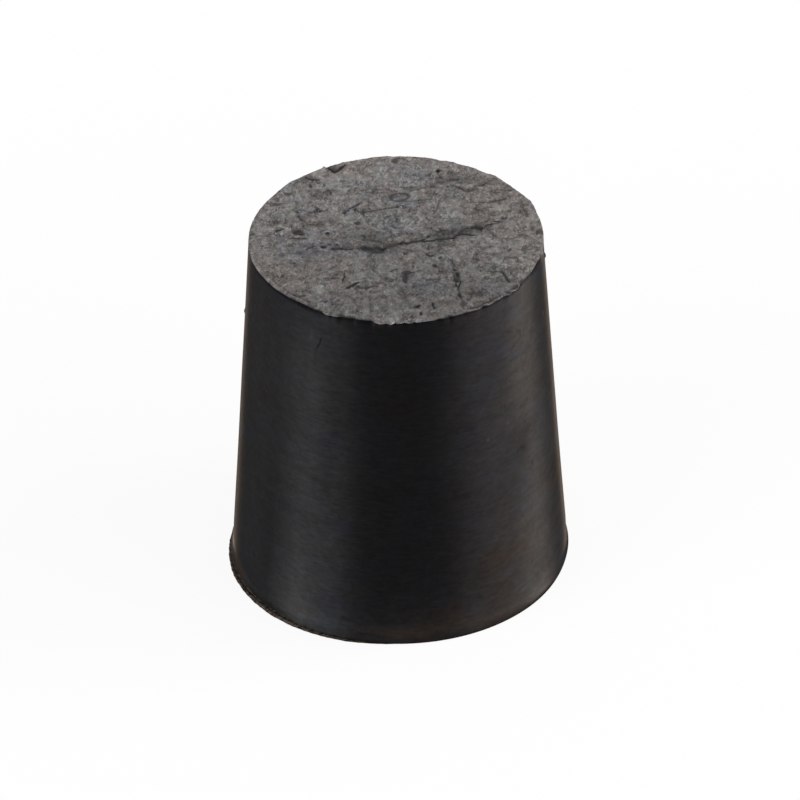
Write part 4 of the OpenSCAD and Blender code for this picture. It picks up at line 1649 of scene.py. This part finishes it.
@dataclass
class Stopper:
    """The whole stopper, moulded in one piece."""

    face: NarrowFace = field(default_factory=NarrowFace)
    rim: RaggedRim = field(default_factory=RaggedRim)
    side: TaperedSide = field(default_factory=TaperedSide)
    lip: MouldedLip = field(default_factory=MouldedLip)

    def build(self, name: str) -> bpy.types.Object:
        """Makes the stopper.

        Args:
            name: The piece's name.

        Returns:
            The finished object.
        """
        casting = Casting()
        centre = self.side.rim_centre
        casting.lay_disc(centre[0], self.side.height, self.face.cells)
        flat = np.array([v.co[:] for v in casting.mesh.verts])[:, :2]
        casting.refine(self.face.needs_detail(flat))
        self.side.pull(casting, self.lip.sweep_circle(self.side)[1])
        self.lip.pull(casting, self.side)
        self.side.refine(casting.mesh)
        mesh = bpy.data.meshes.new(name)
        bmesh.ops.recalc_face_normals(casting.mesh, faces=casting.mesh.faces)
        casting.mesh.to_mesh(mesh)
        casting.mesh.free()
        self.wear(mesh, centre[0])
        mesh.shade_smooth()
        for finish in (WornFace(), MouldedSkin(), TrimmedLip()):
            mesh.materials.append(finish.build())
        piece = bpy.data.objects.new(name, mesh)
        bpy.context.scene.collection.objects.link(piece)
        return piece

    def wear(self, mesh: bpy.types.Mesh, rim_radius: float) -> None:
        """Moves the mesh's points to show wear and flash, writes its marks, and goes to metres.

        Args:
            mesh: The stopper's smooth mesh.
            rim_radius: The radius at which the flat of the face ends.
        """
        flat = np.empty(len(mesh.vertices) * 3)
        mesh.vertices.foreach_get("co", flat)
        points = flat.reshape(-1, 3)
        radii = np.hypot(points[:, 0], points[:, 1])
        ways = points[:, :2] / np.maximum(radii, 1e-6)[:, None]
        bearings = np.degrees(np.arctan2(points[:, 1], points[:, 0]))
        drop = self.side.height - points[:, 2]
        on_face = drop < SLIGHT
        upper = drop < self.rim.reach
        marks = {key: np.zeros(len(points)) for key in ("scar", "stain", "warmth", "torn")}
        # Painted highlights and painted shade in the side's reflection, with its scratches
        marks |= self.side.shine(bearings, points[:, 2])

        held = points[upper, :2].copy()
        edge = drop[upper] > SLIGHT
        held[edge] = ways[upper][edge] * rim_radius
        found = self.face.marks(held)
        height = found.pop("height") + self.face.roughness(held) - self.face.chip(held)
        fade = np.exp(-drop[upper] / self.rim.fade)
        for key, amount in found.items():
            marks[key][upper] = amount * np.where(edge, fade, 1.0)
        lift = np.zeros(len(points))
        lift[upper] = height * fade

        inward = np.where(on_face, rim_radius - radii, drop)
        over = drop / self.side.rim_round
        # Painted shade, and some painted highlight, at the edge of the face and over the rim's round
        marks["stain"][upper] += self.rim.painted_rim_shade(bearings[upper], inward[upper], over[upper])
        # Painted shadow: the band under the rim reflects less
        under_rim = (drop - self.rim.shadow_drop) / self.rim.shadow_width
        marks["gloss"] -= self.rim.shadow * np.exp(-(under_rim**2))
        near_rim = np.exp(-np.maximum(inward, 0.0) / self.rim.fade) * upper * (inward < self.rim.reach)
        out = self.rim.outward(bearings) * near_rim
        swells = (drop > self.side.plain_drop) & (points[:, 2] > self.lip.foot_top)
        out += np.where(swells, self.side.bulge(points), 0.0)

        lip_radius = self.side.wide_radius + self.lip.proud
        on_foot = points[:, 2] < self.lip.foot_top
        on_lip = points[:, 2] < self.lip.flash_height + SLIGHT
        on_lip &= radii > lip_radius - self.lip.edge_width
        past = np.clip((radii - lip_radius) / self.lip.skirt, 0.0, 1.0)
        past = np.where(points[:, 2] < SLIGHT, 1.0, past)
        reach = self.lip.flash(bearings)
        torn = self.lip.torn_edge(bearings) * soft_step(0.0, self.lip.full_tear, reach)
        out += np.where(on_lip, past * np.maximum(reach + torn, 0.0), 0.0)
        out -= self.lip.fall_back(bearings, points[:, 2])
        raised, marks["torn"] = self.lip.across(past, bearings)
        marks["torn"] *= on_lip
        lift += np.where(on_lip & ~on_foot, raised, 0.0)

        points[:, :2] += ways * out[:, None]
        points[:, 2] += lift
        mesh.vertices.foreach_set("co", (points * MM).ravel())
        for key, amount in marks.items():
            mesh.attributes.new(key, "FLOAT", "POINT").data.foreach_set("value", amount)
        mesh.update()


# ---------------------------------------------------------------------------------------------
# The studio
# ---------------------------------------------------------------------------------------------


@dataclass(frozen=True)
class Softbox:
    """A rectangular lamp that looks at the stopper. Bearing 270 is in front of it."""

    name: str
    bearing: float
    elevation: float
    away: float
    wide: float
    tall: float
    bright: float
    colour: Colour = (1.0, 1.0, 1.0)
    # How high above the ground it is aimed
    aim: float = 0.016

    def build(self) -> None:
        """Hangs the lamp."""
        lamp = bpy.data.lights.new(self.name, "AREA")
        lamp.shape = "RECTANGLE"
        lamp.size, lamp.size_y = self.wide, self.tall
        lamp.energy = self.bright * math.pi * self.wide * self.tall
        lamp.color = self.colour
        hung = bpy.data.objects.new(self.name, lamp)
        turn, rise = math.radians(self.bearing), math.radians(self.elevation)
        way = Vector((math.cos(turn) * math.cos(rise), math.sin(turn) * math.cos(rise), math.sin(rise)))
        hung.location = way * self.away + Vector((0.0, 0.0, self.aim))
        hung.rotation_euler = way.to_track_quat("Z", "Y").to_euler()
        hung.visible_camera = False
        bpy.context.scene.collection.objects.link(hung)


@dataclass
class Studio:
    """The pale floor, the plain room and the lamps."""

    floor_radius: float = 4.0
    floor_pale: Colour = (0.86, 0.86, 0.86)
    room_light: float = 0.35
    # How much of the floor's own light there is near the stopper, and between which distances
    # from it in millimetres that rises to all of it
    near_glow: float = 0.9
    glow_ends: Point = (30.0, 110.0)
    lamps: tuple[Softbox, ...] = (
        Softbox("overhead", 90.0, 74.0, 0.75, 0.6, 0.6, 0.5),
        Softbox("left_panel", 217.0, 11.0, 0.55, 0.40, 0.2, 15.0, (0.95, 0.98, 1.0)),
        Softbox("right_panel", 368.0, 11.0, 0.55, 0.26, 0.2, 24.0, (1.0, 0.90, 0.81)),
        Softbox("right_fill", 330.0, 11.0, 0.55, 0.42, 0.2, 11.0, (1.0, 0.94, 0.93)),
    )

    def seen_white(self, graph: Graph) -> Value:
        """Says where the camera, a reflection or clear glass looks.

        Args:
            graph: The graph that asks.

        Returns:
            1 for such a ray and 0 for light that falls on things.
        """
        path = graph.node("ShaderNodeLightPath")
        named = ("Is Camera Ray", "Is Glossy Ray", "Is Transmission Ray")
        camera, glossy, through = (Value(graph, path.outputs[name]) for name in named)
        return camera.larger(glossy).larger(through)

    def build_room(self) -> None:
        """Makes the world, white to look at and plain to be lit by."""
        world = bpy.data.worlds.new("room")
        bpy.context.scene.world = world
        world.use_nodes = True
        graph = Graph(world.node_tree)
        light = graph.node("ShaderNodeBackground", None, {"Color": WHITE, "Strength": self.room_light})
        white = graph.node("ShaderNodeBackground", None, {"Color": WHITE, "Strength": 1.0})
        surface = graph.mixed(self.seen_white(graph), light.outputs[0], white.outputs[0])
        graph.show(surface, "ShaderNodeOutputWorld")

    def build_floor(self) -> bpy.types.Object:
        """Lays the floor.

        Returns:
            The floor.
        """
        laid = bmesh.new()
        bmesh.ops.create_circle(laid, cap_ends=True, segments=96, radius=self.floor_radius)
        mesh = bpy.data.meshes.new("floor")
        laid.to_mesh(mesh)
        laid.free()
        material, graph = new_finish("pale_floor")
        away = graph.node("ShaderNodeVectorMath", {"operation": "LENGTH"}, {0: graph.place()})
        risen = Value(graph, away.outputs["Value"]).within(*self.glow_ends)
        glow = self.near_glow + (1.0 - self.near_glow) * risen
        matt = graph.node("ShaderNodeBsdfDiffuse", None, {"Color": (*self.floor_pale, 1.0)})
        white = graph.node("ShaderNodeEmission", None, {"Color": WHITE, "Strength": 1.0})
        share = self.seen_white(graph) * glow
        graph.show(graph.mixed(share, matt.outputs[0], white.outputs[0]))
        material.cycles.emission_sampling = "NONE"
        mesh.materials.append(material)
        floor = bpy.data.objects.new("floor", mesh)
        bpy.context.scene.collection.objects.link(floor)
        return floor

    def build(self) -> None:
        """Makes the room, the floor and the lamps."""
        self.build_room()
        self.build_floor()
        for lamp in self.lamps:
            lamp.build()
            LOG.info("lamp %s at bearing %.0f", lamp.name, lamp.bearing)


@dataclass(frozen=True)
class Viewpoint:
    """The camera, on a long lens, looking down at the stopper from in front."""

    lens: float = 363.87
    sensor: float = 36.0
    looks_down: float = 35.303
    tilt: float = -0.689
    # The middle of the wide end as the camera sees it: right, down and away, in millimetres
    sees: Place = (-0.0247, 12.412, 703.4)

    def build(self) -> None:
        """Sets up the camera."""
        down, turn = math.radians(self.looks_down), math.radians(self.tilt)
        sine, cosine = math.sin(down), math.cos(down)
        level = Matrix(((1, 0, 0), (0, -sine, -cosine), (0, cosine, -sine)))
        rolled = Matrix.Rotation(turn, 3, "Z") @ level
        data = bpy.data.cameras.new("camera")
        data.lens, data.sensor_width = self.lens, self.sensor
        camera = bpy.data.objects.new("camera", data)
        axes = Matrix((rolled[0], -rolled[1], -rolled[2])).transposed()
        stands = -(rolled.transposed() @ Vector(self.sees)) * MM
        camera.matrix_world = Matrix.Translation(stands) @ axes.to_4x4()
        bpy.context.scene.collection.objects.link(camera)
        bpy.context.scene.camera = camera


def main() -> None:
    """Builds the stopper round the fixed frame, and the studio round the stopper."""
    logging.basicConfig(level=logging.INFO, format="%(name)s: %(message)s")
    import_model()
    Viewpoint().build()
    Studio().build()
    stopper = Stopper().build("stopper_rubber")
    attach(stopper, "root")
    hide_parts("stopper")
    LOG.info("%s: %d faces", stopper.name, len(stopper.data.polygons))
    bpy.context.scene.view_settings.view_transform = "Standard"


if __name__ == "__main__":
    main()
